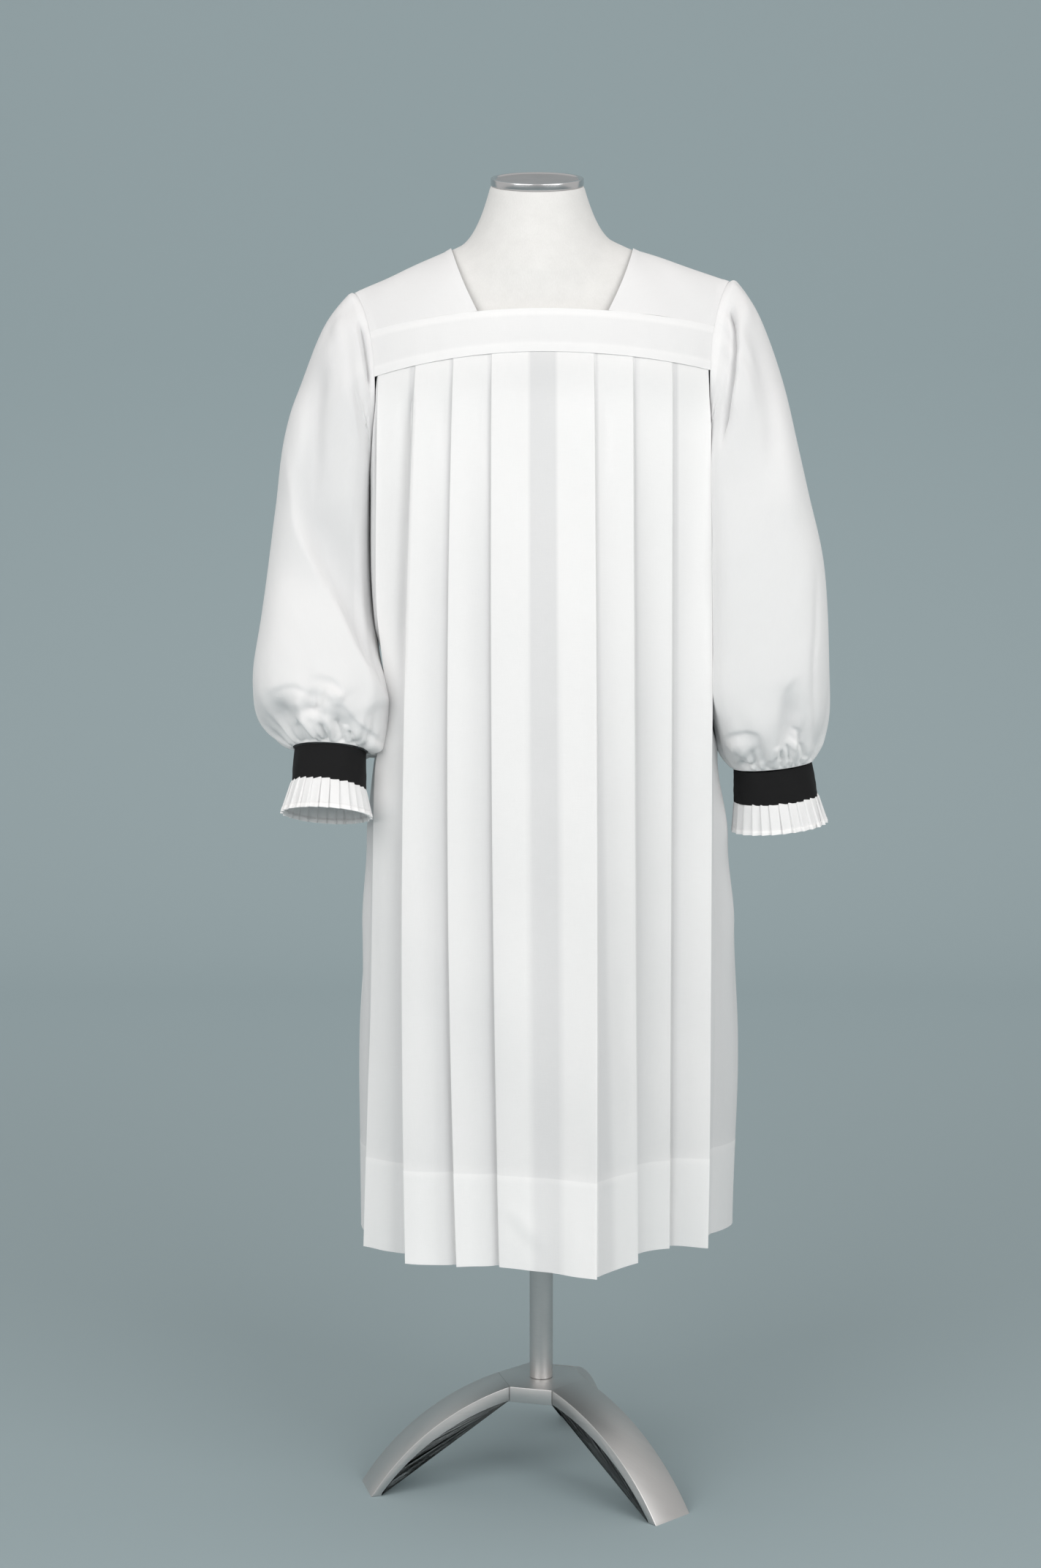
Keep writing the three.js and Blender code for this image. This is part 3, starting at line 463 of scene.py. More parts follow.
class Surface:
    """A material in the making, with short calls for the nodes used here."""

    def __init__(self, name):
        self.material = bpy.data.materials.new(name)
        self.material.use_nodes = True
        self.tree = self.material.node_tree

    def feed(self, node, inputs):
        """Set a node's inputs to values, or link them to other nodes' outputs."""
        for name, value in inputs.items():
            if isinstance(value, bpy.types.NodeSocket):
                self.tree.links.new(value, node.inputs[name])
            else:
                node.inputs[name].default_value = value

    def node(self, kind, output, inputs=(), **settings):
        node = self.tree.nodes.new("ShaderNode" + kind)
        for name, value in settings.items():
            setattr(node, name, value)
        self.feed(node, dict(inputs))
        return node.outputs[output]

    def noise(self, place, scale, detail=3, stretch=(1, 1, 1)):
        place = self.node("Mapping", "Vector", {"Scale": stretch, "Vector": place})
        return self.node("TexNoise", "Fac", {"Scale": scale, "Detail": detail, "Vector": place})

    def maths(self, operation, a, b):
        return self.node("Math", 0, {0: a, 1: b}, operation=operation)

    def add(self, a, b, a_share=1, b_share=1):
        parts = [self.maths("MULTIPLY", part, share) if share != 1 else part
                 for part, share in ((a, a_share), (b, b_share))]
        return self.maths("ADD", *parts)

    def bump(self, layers):
        """Bumps one over another: each layer is its height and the height's depth in metres."""
        inputs = {"Strength": 1}
        for height, depth in layers:
            inputs["Normal"] = self.node("Bump", "Normal", {**inputs, "Distance": depth, "Height": height})
        return inputs["Normal"]

    def blend(self, a, b, share, kind="MIX"):
        return self.node("Mix", "Result", {"A": a, "B": b, "Factor": share},
                         data_type="RGBA", blend_type=kind)

    def ramp(self, a, b, stops):
        """A colour between two stops, from the mean of two values."""
        colour = self.node("ValToRGB", "Color", {"Fac": self.maths("MULTIPLY", self.add(a, b), 0.5)})
        for element, (place, shade) in zip(colour.node.color_ramp.elements, stops):
            element.position = place
            element.color = (*shade, 1)
        return colour

    def finish(self, inputs):
        self.feed(self.tree.nodes["Principled BSDF"], inputs)
        return self.material


CLOUD, SLUB_SHADE = 0.05, 0.035     # how much patches and slubs change the cloth's tone
WAVE_PITCH = 0.314                  # a wave texture's scale for threads a metre apart
SLUB_STRETCH = ((1500, 60, 1), (60, 1500, 1))   # thick places along the warp and the weft


def woven_material(name, single, many, roughness, sheen, thread, relief, slub, through):
    """Plain weave: warp and weft threads, slubs along both, and a tint for doubled cloth that also carries
    painted shade.
    """
    cloth = Surface(name)
    uv = cloth.node("UVMap", "UV", uv_map="cloth")
    wave = {"Scale": WAVE_PITCH / thread, "Distortion": 0.6, "Detail": 1, "Detail Scale": 0.4,
            "Vector": uv}
    threads = cloth.maths("MULTIPLY", *(
        cloth.node("TexWave", "Fac", wave, bands_direction=direction, wave_profile="SIN")
        for direction in "XY"))
    slubs = cloth.add(*(cloth.noise(uv, 1, 2, stretch) for stretch in SLUB_STRETCH))
    normal = cloth.bump([(threads, relief), (slubs, relief * slub),
                         (cloth.noise(uv, 28, 3), relief * 5)])
    tint = cloth.node("Attribute", "Fac", attribute_name="layers")
    colour = cloth.blend((*single, 1), (*many, 1), tint)
    shade = cloth.add(cloth.noise(uv, 9, 4), slubs, CLOUD, SLUB_SHADE)
    shade = cloth.add(shade, 1 - CLOUD / 2 - SLUB_SHADE)
    return cloth.finish({
        "Normal": normal, "Base Color": cloth.blend(colour, shade, 1, "MULTIPLY"),
        "Roughness": roughness, "Sheen Weight": sheen, "Sheen Roughness": 0.45,
        "Specular IOR Level": 0.25, "Subsurface Weight": through,
        "Subsurface Radius": (1, 1, 1), "Subsurface Scale": 0.002,
    })


def knitted_material():
    """The form's stretched jersey cover: fine ribs with a soft nap."""
    knit = Surface("form_jersey")
    place = knit.node("TexCoord", "Object")
    ribs, nap = knit.noise(place, 1, 2, (900, 900, 160)), knit.noise(place, 60, 4)
    colour = knit.ramp(ribs, nap, [(0.3, (0.70, 0.695, 0.68)), (0.7, (0.76, 0.755, 0.74))])
    return knit.finish({
        "Normal": knit.bump([(ribs, 0.00025), (nap, 0.0002)]), "Base Color": colour,
        "Roughness": 0.9, "Sheen Weight": 0.2, "Sheen Roughness": 0.5,
    })


# What the brushed lines and the marks add to metal's roughness, and how dark its grooves are.
LINE_ROUGHNESS, MARK_ROUGHNESS, GROOVE_TONE = 0.18, 0.14, 0.84


def brushed_material(name, colour, roughness, stretch, depth):
    """Metal brushed along one direction: stretched noise in its roughness, tone and bump."""
    metal = Surface(name)
    uv = metal.node("UVMap", "UV")
    lines, marks = metal.noise(uv, 1, 4, stretch), metal.noise(uv, 14, 4)
    rough = metal.add(lines, roughness - LINE_ROUGHNESS / 2, LINE_ROUGHNESS)
    dark = [GROOVE_TONE * c for c in colour]
    return metal.finish({
        "Normal": metal.bump([(lines, depth)]), "Roughness": metal.add(marks, rough, MARK_ROUGHNESS),
        "Base Color": metal.ramp(lines, marks, [(0.25, dark), (0.75, colour)]), "Metallic": 1,
    })


# ------------------------------------------------------------------ the yoke and shoulders

BAND_COLUMNS, BAND_ROWS = 150, 16
SHOULDER_COLUMNS, SHOULDER_ROWS = 56, 110
SEAM_INSET, EDGE_INSET = 0.1, 0.2   # how far the pieces end short of their seams
STRIP_EDGE = (-1.5, 1)          # the soft end of a doubled strip, counted from its width
SHOULDER_STRIP = (7, 9)         # the same round a shoulder piece, from its edge
BAND_ROUNDS, SHOULDER_ROUNDS = 8, 14   # rounds that bring a piece's side to the armhole's curve
# Relief along their edges: (height, width, distance from the edge).
BAND_TOP_EDGE = ((0.5, 2.2, 0), (-0.45, 1.1, 3.6))
BAND_BOTTOM_EDGE = ((-0.35, 1.6, 0), (-0.2, 1.1, 3.4))
NECK_EDGE = ((0.45, 2, 0), (-0.35, 1.2, 7.5))


def doubled(width, distance):
    """1 over an allowance of this width along an edge, 0 past it."""
    return 1 - smooth(*(width + end for end in STRIP_EDGE), distance)


def yoke_band(name, top, bottom, facing):
    """A band of the yoke between two seams, doubled along both by its pressed allowances."""
    across = np.sin(np.radians(np.linspace(-90, 90, BAND_COLUMNS + 1)))[None, :]
    share = np.linspace(0, 1, BAND_ROWS + 1)[:, None]

    def height(x):
        return mix(seam_height(top, x) - EDGE_INSET, seam_height(bottom, x) + SEAM_INSET, share)

    x = across * ARM_CHEST_X + share * 0
    for _ in range(BAND_ROUNDS):
        z = height(x)
        edge = np.where(across < 0, armhole_x("left", z), armhole_x("right", z))
        x = across * (edge - EDGE_INSET)
    z = height(x)
    from_top, from_bottom = seam_height(top, x) - z, z - seam_height(bottom, x)
    strips = np.maximum(doubled(TOP_STRIP, from_top), doubled(SEAM_STRIP, from_bottom))
    pull = wobble(31 if facing < 0 else 37, 7, 0.05, 0.22)
    out = 0.75 + 0.3 * strips + edge_relief(BAND_BOTTOM_EDGE, from_bottom)
    out = out + edge_relief(BAND_TOP_EDGE, from_top)
    out = out + 0.45 * pull(x) * smooth(0, 14, from_top) * smooth(0, 8, from_bottom)
    points = raised_point(x, turn_at(x, z, facing), out)
    return cloth_shell(name, points, LAYER * (1 + 0.25 * strips), 0.3 + 0.2 * strips, LINEN,
                       flip=facing > 0)


def neckline_x(turn, x):
    """The neckline's distance from the centre: nearly straight from its corners to the ridge."""
    front = turn < math.pi / 2
    corner = np.where(front, NECKLINE["front"], NECKLINE["back"])
    base = np.where(front, YOKE_FRONT_TOP - 4, YOKE_BACK_TOP - 5)
    z = shoulder_point(x, turn)[..., 2]
    rise = np.clip((z - base) / (NECK_POINT[1] - base), 0, 1)
    return mix(corner, NECK_POINT[0], rise + 0.07 * np.sin(math.pi * rise))


def shoulder_piece(name, side):
    """The piece over a shoulder, from the neckline to the armhole and from band to band."""
    sign = sign_of(side)
    across = np.linspace(0, 1, SHOULDER_COLUMNS + 1)[None, :]
    over = np.linspace(0, 1, SHOULDER_ROWS + 1)[:, None]
    x = mix(NECK_POINT[0], ARM_CHEST_X, across) + over * 0
    for _ in range(SHOULDER_ROUNDS):
        front, back = (turn_at(sign * x, seam_height(top, sign * x) + SEAM_INSET, facing)
                       for top, facing in ((YOKE_FRONT_TOP, -1), (YOKE_BACK_TOP, 1)))
        turn = mix(front, back, over)
        edge = armhole_x(side, shoulder_point(sign * x, turn)[..., 2]) - EDGE_INSET
        neck = neckline_x(turn, sign * x[:, :1])
        x = mix(neck, edge, across)
    from_neck, from_arm = x - neck, edge - x
    strips = 1 - smooth(*SHOULDER_STRIP, np.minimum(from_neck, from_arm))
    drape = wobble(5 if side == "left" else 8, 6, 1.5, 4.5)
    out = 0.7 + 0.25 * strips + edge_relief(NECK_EDGE, from_neck)
    out = out + 0.9 * drape(3 * over + 0.02 * x) * smooth(0, 15, from_neck) * smooth(0, 12, from_arm)
    points = raised_point(sign * x, turn, out)
    return cloth_shell(name, points, LAYER * (1 + 0.4 * strips), 0.24, LINEN, flip=side == "right")


# ------------------------------------------------------------------ the pleated panels

TUCK_ROWS = (5, 2.5, 0.4)       # how far the pleats reach up behind the yoke
SEAM_PITCH, SEAM_DEPTH, SETTLE = 0.42, 1.7, 38
BODY_ROWS, HEM_ROWS = 84, 15
MIDDLE_SPANS = 26
BEND = 2.2                      # how far a fold's rounding reaches from it
# Painted shade: a face is greyer by its inner edge, under the fold that laps over it, partly also as
# thinner cloth there.
FACE_DIM_AND_SHADE = {"left": 0.2, "right": 0.6}   # how white a face is by its inner edge, 1 being all
FREE = (30, 90)                 # the depth below the seam over which the pleats come free
SWELL, SWELL_X = 4.0, (30, 70)  # how far a face bows towards its fold, and from where
SOFT_WAVE, FINE_WAVE, SIDE_WAVE = 2.6, 1.4, 1.6
HEM_WAVE, HEM_LIFT = (2.2, 170), (1.4, 120)   # each with the height it reaches above the hem
# Where a panel turns to its side, where its side folds begin, and the strip at its side seam.
SIDE_X, SIDE_Z, SIDE_FOLD_Z, SIDE_STRIP = (196, 226), (1420, 1340), (1280, 1200), (8, 11)
PRESSED = 0.4                   # thickness where the pleats lie flat on one another at the seam
# A side's turn behind its last fold, and where the body's side hugs the form.
CORNER = {"y": -60, "reach": 15, "out": 6, "forward": 5, "x": (198, 203),
          "z": ((930, 1000), (1390, 1330))}
HUG_X, HUG_Y, HUG_START = (190, 200), (80, 62), (0, 40)
# The lines of a pleat: the layer each lies in at the seam, the spans from it to the next line
# outwards, and the columns that round the fold at it.
LINES = {
    "fold": (4, 1, 3), "under": (3, 4, 3), "turn": (1, 1, 2),
    "base": (0, 4, 2), "face": (2, 13, 1), "side": (2, 5, 1),
}


def seam_of(facing):
    return YOKE_FRONT_BOTTOM if facing < 0 else YOKE_BACK_BOTTOM


def smooth_table(keys, values, at):
    """Values between a table's rows with smooth steps, as the solids have them."""
    keys, values = np.asarray(keys, float), np.asarray(values, float)
    i = np.clip(np.searchsorted(keys, at) - 1, 0, len(keys) - 2)
    return mix(values[i], values[i + 1], smooth(keys[i], keys[i + 1], at))


def row_heights(top):
    """Heights of a line of points from a place under the yoke down to the hem."""
    hem_line = HEM_Z + HEM_HEIGHT
    body = mix(top, hem_line + 0.5, np.linspace(0, 1, BODY_ROWS) ** 1.02)
    hem = mix(hem_line - 0.5, HEM_Z, np.linspace(0, 1, HEM_ROWS))
    return np.concatenate([body, hem])


def hanging_line(side, waist, hem, top, edge=None, hang=None):
    """A panel's line of points from the seam to the hem, on the solid's own curve. At the sides
    it lies between the last pleat's edge and the side seam, by its share hang."""
    z = row_heights(top[2])
    share = (top[2] - z) / (top[2] - HEM_Z)
    y = mix(top[1], hem[1], share * (0.5 + 0.5 * share))
    early, late = (1 - share) * (1 - 2 * share), share * (2 * share - 1)
    middle = 4 * share * (1 - share)
    if edge is None:
        x = top[0] * early + waist * middle + hem[0] * late
    else:
        edge_x = edge["yoke"] * early + edge["waist"] * middle + edge["hem"] * late
        seam_x = smooth_table(SIDE_SEAM_Z, SIDE_SEAM[side], z)
        hangs = mix(edge_x, seam_x, math.sin(hang * math.pi / 2))
        x = mix(top[0], sign_of(side) * hangs, np.minimum(share * 6, 1))
    reach = np.where(z > SLEEVE_PRESS["z"], SLEEVE_PRESS["above"], SLEEVE_PRESS["below"])
    inside = np.clip((-SLEEVE_PRESS["start"] - x) / SLEEVE_PRESS["fade"], 0, 1)
    x = x + SLEEVE_PRESS["depth"] * bell(z, reach, SLEEVE_PRESS["z"]) * inside
    return np.stack([x, y, z], -1)


def with_tuck(line, share=1.0):
    """A line with the short stretch that reaches up behind the yoke."""
    return np.concatenate([line[:1] + np.array([[0, 0, share * d] for d in TUCK_ROWS]), line])


def panel_lines(pleats, side, facing):
    """One half of a panel from its centre outwards: its lines and what follows each."""
    sign = sign_of(side)
    lines, kinds = [], []

    def add(kind, yoke, waist, hem_x, hem_y):
        x = sign * yoke
        layer = LINES[kind][0]
        seam = seam_height(seam_of(facing), x) - 0.35
        surface = raised_point(x, turn_at(x, seam, facing), layer * LAYER_STEP - BASE_INSET)
        line = hanging_line(side, sign * waist, (sign * hem_x, -facing * hem_y), surface)
        lines.append(with_tuck(line))
        kinds.append(kind)

    for row in pleats:
        pleat = dict(zip(PLEAT_COLUMNS, row))
        yoke, waist, hem, y = (pleat[k] for k in ("yoke", "waist", "hem", "y"))
        inner = hem - math.sqrt(HEM_RETURN**2 - pleat["back"] ** 2)
        behind = y + pleat["back"]
        add("fold", yoke, waist, hem, y)
        add("under", yoke, waist, hem, y + LAYER_STEP)
        add("turn", yoke - PLEAT_RETURN, waist - PLEAT_RETURN, inner, behind)
        add("base", yoke - PLEAT_RETURN, waist - PLEAT_RETURN, inner, behind + LAYER_STEP)
        add("face", yoke + 1, waist + 1, hem + 1, y + 0.8 * pleat["step"])
    seam_x, seam_y = SIDE_SEAM[side][0], -facing * SIDE_SEAM_HEM_Y - 0.2
    for degrees, hang in SIDE_POINTS:
        top = armhole_point(side, -facing * math.radians(degrees)).copy()
        top += (-1.2 * sign, 0.2 * facing, -0.2)
        hem = (sign * mix(pleat["hem"], seam_x, math.sin(hang * math.pi / 2)),
               -facing * mix(pleat["y"] + pleat["step"], seam_y, hang))
        lines.append(with_tuck(hanging_line(side, None, hem, top, pleat, hang), 0.2))
        kinds.append("side")
    return lines, kinds


def face_cover(out, width, blur, fade):
    """Where a face lies over the return behind its fold. out is the share of the way to it."""
    return 1 - smooth(PLEAT_RETURN - blur, PLEAT_RETURN + fade, (1 - out) * width)


def pleat_grid(left, right):
    """A panel's grid across its pleats, each fold rounded. With its points come how many layers
    lie behind them, lowered by a painted shade at each face's inner edge, and for each column its
    share of the way over a face, its layer at the seam and whether it is pleated."""
    lines = np.stack(left[0][::-1] + right[0], 1)
    kinds = left[1][::-1] + right[1]
    middle = len(left[0]) - 1
    steps = np.diff(lines, axis=1)
    lengths = np.linalg.norm(steps, axis=-1)
    ways = steps / lengths[..., None]
    reach = np.zeros((*lines.shape[:2], 1))
    reach[:, 1:-1, 0] = np.minimum(np.minimum(lengths[:, :-1], lengths[:, 1:]) * 0.45, BEND)
    z = lines[:, middle + 1, 2]
    blur = 1.2 + 9 * smooth(YOKE_FRONT_BOTTOM, HEM_Z, z)
    fade = blur - 0.35 * blur * blur / 9
    hangs = 0.1 + 0.9 * smooth(YOKE_FRONT_BOTTOM, YOKE_FRONT_BOTTOM - 350, z)
    made = []
    for i, width in enumerate(lengths.T):
        on_left = i < middle
        inner, outer = (kinds[i + 1], kinds[i]) if on_left else (kinds[i], kinds[i + 1])
        layers = [LINES[kind][0] for kind in kinds[i:i + 2]]
        pleated = [float(kind != "side") for kind in kinds[i:i + 2]]
        start = lines[:, i] + ways[:, i] * reach[:, i]
        end = lines[:, i + 1] - ways[:, i] * reach[:, i + 1]
        spans = MIDDLE_SPANS if i == middle else LINES[inner][1]
        for share in np.linspace(0, 1, spans + 1):
            out = 1 - share if on_left else share
            if i == middle:
                cover = np.maximum(face_cover(1 - share, width, blur, fade),
                                   face_cover(share, width, blur, 0.5 * blur))
            elif (inner, outer) == ("face", "fold"):
                # Painted shade: each face greys towards its inner edge, under the fold that laps over it.
                dim_and_shade = mix(FACE_DIM_AND_SHADE["left" if on_left else "right"], 1, smooth(0, 0.85, out))
                cover = face_cover(out, width, blur, fade) * mix(1, dim_and_shade, hangs)
            else:
                cover, out = np.full(len(lines), 0.0 if "side" in (inner, outer) else 0.9), 0.0
            made.append((mix(start, end, share), cover, out,
                         mix(*layers, share), mix(*pleated, share)))
        if i + 2 < len(kinds):
            knot = lines[:, i + 1]
            after = knot + ways[:, i + 1] * reach[:, i + 1]
            for share in np.linspace(0, 1, LINES[kinds[i + 1]][2] + 2)[1:-1]:
                bend = mix(mix(end, knot, share), mix(knot, after, share), share)
                made.append((bend, cover, 0.0, layers[1], pleated[1]))
    points, cover, *columns = zip(*made)
    return np.stack(points, 1), np.stack(cover, 1), *(np.array(column) for column in columns)


def lie_at_seam(grid, levels, sewn, facing):
    """Bring the pleats' tops to the yoke's seam, each layer flat behind the next."""
    x, y, z = np.moveaxis(grid, -1, 0)
    first = len(TUCK_ROWS)
    seam = seam_height(seam_of(facing), x[first]) - 0.35
    hold = bell(np.maximum(z[first] - z, 0), SETTLE) * sewn
    z = z + (seam - z[first]) * hold
    out = levels * SEAM_PITCH - SEAM_DEPTH - 0.25 * np.maximum(z - seam, 0)
    target = raised_point(x, turn_at(x, z, facing), out)[..., 1]
    return np.stack([x, mix(y, target, hold), z], -1)


def hug_body(grid):
    """Draw the panel's side in under the sleeve that hangs against it."""
    x, y, z = np.moveaxis(grid, -1, 0)
    free = smooth(*HUG_START, z[len(TUCK_ROWS)] - z)
    near = smooth(*HUG_X, np.abs(x)) * smooth(*HUG_Y, np.abs(y)) * hug_share(z) * free
    hug = np.where(x < 0, HUG["left"], HUG["right"]) - 1
    corner = bell(y, CORNER["reach"], CORNER["y"]) * smooth(*CORNER["x"], np.abs(x))
    corner = corner * between(*CORNER["z"], z) * free
    return np.stack([x + np.sign(x) * (CORNER["out"] * corner - hug * near),
                     y - CORNER["forward"] * corner, z], -1)


def dips_relief(dips, x, z):
    """Faces that dip towards the pleat beside them: the path is that pleat's folded edge."""
    total = np.zeros(np.shape(x))
    for depth, reach, fade_in, fade_out, path in dips:
        gap, share = along(path, x, z)
        total -= depth * bell(gap, reach) * smooth(1, -0.5, gap) * faded(fade_in, fade_out, share)
    return total


def pleated_panel(name, pleats, facing, folds, dips, seeds):
    """A panel from the yoke's seam to the hem, from one side seam to the other."""
    halves = [panel_lines(pleats[side], side, facing) for side in ("left", "right")]
    grid, cover, faces, levels, sewn = pleat_grid(*halves)
    grid = hug_body(lie_at_seam(grid, levels, sewn, facing))
    x, y, z = np.moveaxis(grid, -1, 0)
    sway, slow, fine, hem_wave = (wobble(seed) for seed in seeds)
    from_seam, from_hem = seam_of(facing) - z, z - HEM_Z
    down = smooth(0, 1, from_seam / (seam_of(facing) - HEM_Z))
    below = smooth(*FREE, from_seam)
    swell = np.where(x < 0, SWELL, -SWELL) * smooth(*SWELL_X, np.abs(x)) * mix(0.25, 1, down) * below
    out = swell * np.sin(math.pi * faces**0.8)
    out = out + SOFT_WAVE * down * sway(x / 38 + 0.6 * slow(z / 260))
    out = out + FINE_WAVE * below * fine(z / 70 + x / 90)
    out = out + HEM_WAVE[0] * smooth(HEM_WAVE[1], 0, from_hem) * hem_wave(x / 17)
    out = out + (folds_relief(folds, x, z) + dips_relief(dips, x, z)) * below
    on_side = smooth(*SIDE_X, np.abs(x)) * smooth(*SIDE_Z, z)
    lean = folds_relief(SIDE_FOLDS, y, z) * smooth(*SIDE_FOLD_Z, z)
    lean = lean + SIDE_WAVE * slow(y / 30 + z / 300) * down
    lift = HEM_LIFT[0] * smooth(HEM_LIFT[1], 0, from_hem) * hem_wave(x / 60)
    grid = grid + np.stack([np.sign(x) * on_side * lean, facing * out * (1 - on_side), lift], -1)
    in_hem = (z < HEM_Z + HEM_HEIGHT).astype(float)
    # cover holds the layers behind each face together with the painted shade at each face's inner edge.
    layers = np.clip(0.06 + 0.7 * cover + 0.3 * in_hem, 0, 1)
    from_side = np.abs(grid[:, :1, 1] - y) + np.abs(np.abs(grid[:, :1, 0]) - np.abs(x))
    layers = np.maximum(layers, 0.6 * (1 - smooth(*SIDE_STRIP, from_side)) * (cover == 0))
    thickness = mix(PRESSED, LAYER, smooth(0, 45, from_seam - 25)) + (DOUBLE - LAYER) * in_hem
    return cloth_shell(name, grid, thickness, layers, LINEN, flip=facing > 0)


# ------------------------------------------------------------------ sleeves, bands and frills

SLEEVE_COLUMNS = 240
# Stretches of rows down a sleeve: the ring where each ends, counted from the seam, and its rows.
SLEEVE_STRETCHES = ((1, 11), (2.2, 35), (4, 19), (7.6, 39), (11, 61))
BRIDGE_REACH = 46               # how far below its seam a sleeve hangs straight beside the front
BRIDGE_TURN = ((-0.99, -0.8), (0.5, 0))    # the part of a turn that does, by its cosine
SLEEVE_PHASE = {"left": 1.1, "right": 2.3}
# Waves of gathers: height at the back and the front, waves in a turn, phase, whether the side's
# own phase is added, and the distances from the seam over which they rise and fade.
WRIST_GATHERS = (
    (1.8, 1.8, 23, 0, 0, (0, 6), (60, 8)),
    (3.6, 1.6, 11, 1, 0, (0, 24), (120, 30)),
    (3.2, 0.8, 5, 0, 1, (10, 60), (230, 90)),
)
HEAD_GATHERS = ((1.1, 1.1, 15, 2, 0, (0, 14), (110, 25)),)
SOFT_TOP, SOFT_RANGE = 4, 5     # above SOFT_TOP a ridge is bent over and adds at most SOFT_RANGE
# A slow wave down the sleeve: its height, and where it sets in from the seam and from the wrist.
DRAPE, DRAPE_HEAD, DRAPE_WRIST = 1.6, (60, 200), (60, 160)
# Beside the armhole a ridge and, at the back only, a groove: (height, width, distance). They
# belong to the parts of a turn that these ranges of its cosine and its sine let through.
ARM_RIDGE, ARM_GROOVE = ((4.5, 15, 40),), ((-8, 5, 19),)
ARM_TURN, ARM_FACING = ((-0.75, -0.2), (0.97, 0.8)), (0.1, 0.55)
BODY_FACING, BODY_FROM_WRIST = (0.45, 0.85), (60, 130)   # the side that lies against the body
# How white the sleeve is: greyer towards the top, partly thinner cloth and partly painted shade; the right
# sleeve a little whiter; whiter at its seam and its wrist; and greyer in its deep creases, which is
# painted shade.
SHEER_AND_SHADE = {"z": (1450, 1150), "low": 0.04, "high": 0.3, "left": 0, "right": 0.12}
SEAM_WHITE, WRIST_WHITE, CREASE_PAINTED_SHADE = (0.12, (12, 10)), (0.5, (55, 10)), (0.3, (1, 11), (10, 50))
BAND_THICKNESS = 1.7
# One pleat of a frill: (share of its width, share of its depth).
FRILL_PROFILE = ((0, 0), (0.14, 0.10), (0.3, 0.24), (0.46, 0.42), (0.62, 0.62), (0.76, 0.82),
                 (0.86, 0.97), (0.91, 1), (0.945, 0.8), (0.965, 0.4), (0.985, 0.08))
FRILL_HEM = 0.862               # the share of the frill's length where its hem begins


def turn_angles(columns):
    return np.arange(columns) * 2 * math.pi / columns


def ring_points(side, ring, angle, out=0.0, square=1.0, inner=1.0):
    """Points of a ring. angle is 0 at its outer point and a quarter turn at its front. A square
    below 1 fills out its corners, as flat-hanging cloth does, and inner more so by the body."""
    out_x, out_z, in_x, in_z, y, depth, lift, bow = ring
    half_x, half_z = (out_x - in_x) / 2, (out_z - in_z) / 2
    forward, outward = np.sin(angle), np.cos(angle)
    square = square * mix(1, inner, (outward < 0) & (forward > 0))
    forward = np.sign(forward) * np.abs(forward) ** square
    outward = np.sign(outward) * np.abs(outward) ** square
    spread = 1 + out / math.hypot(half_x, half_z)
    x = (out_x + in_x) / 2 + half_x * spread * outward - bow * forward**2
    return np.stack([sign_of(side) * x, y - (depth + out) * forward,
                     (out_z + in_z) / 2 + half_z * spread * outward + lift * forward], -1)


def bridged(grid, angle):
    """Take the sleeve straight from its seam over the hollow between it and the body's front."""
    from_seam = lengths_down(grid)
    row = (from_seam < BRIDGE_REACH).sum(axis=0)
    columns = np.arange(grid.shape[1])
    share = from_seam / from_seam[row, columns]
    chord = mix(grid[:1], grid[row, columns], np.minimum(share, 1)[..., None])
    beside = between(*BRIDGE_TURN, np.cos(angle)) * (np.sin(angle) > 0)
    return mix(grid, chord, (beside * smooth(1, 0.5, share))[..., None])


def sleeve_form(side, angle):
    """The sleeve's surface before its folds, from the armhole's seam to the wristband."""
    head = armhole_point(side, np.where(angle > math.pi, angle - 2 * math.pi, angle))
    knots = [head + np.array([sign_of(side) * JOINT_GAP, 0, 0])]
    for ring, square in zip(SLEEVE_RINGS[side], SLEEVE_SQUARES):
        near = float(hug_share(ring[3]))
        ring = (*ring[:2], ring[2] - HUG[side] * near, *ring[3:])
        knots.append(ring_points(side, ring, angle, 0.0, square, mix(1, INNER_CORNER[side], near)))
    starts = [0] + [end for end, _ in SLEEVE_STRETCHES]
    places = [np.linspace(start, end, rows, endpoint=False)
              for start, (end, rows) in zip(starts, SLEEVE_STRETCHES)]
    return bridged(through_rows(np.stack(knots), np.concatenate(places + [starts[-1:]])), angle)


def gathers(rows, angle, side, front, distance):
    """Sum of the waves in a table of gathers, as they stand at a distance from their seam."""
    total = 0
    for at_back, at_front, waves, phase, own, rise, fade in rows:
        wave = np.sin(waves * angle + phase + own * SLEEVE_PHASE[side])
        total = total + mix(at_back, at_front, front) * wave * between(rise, fade, distance)
    return total


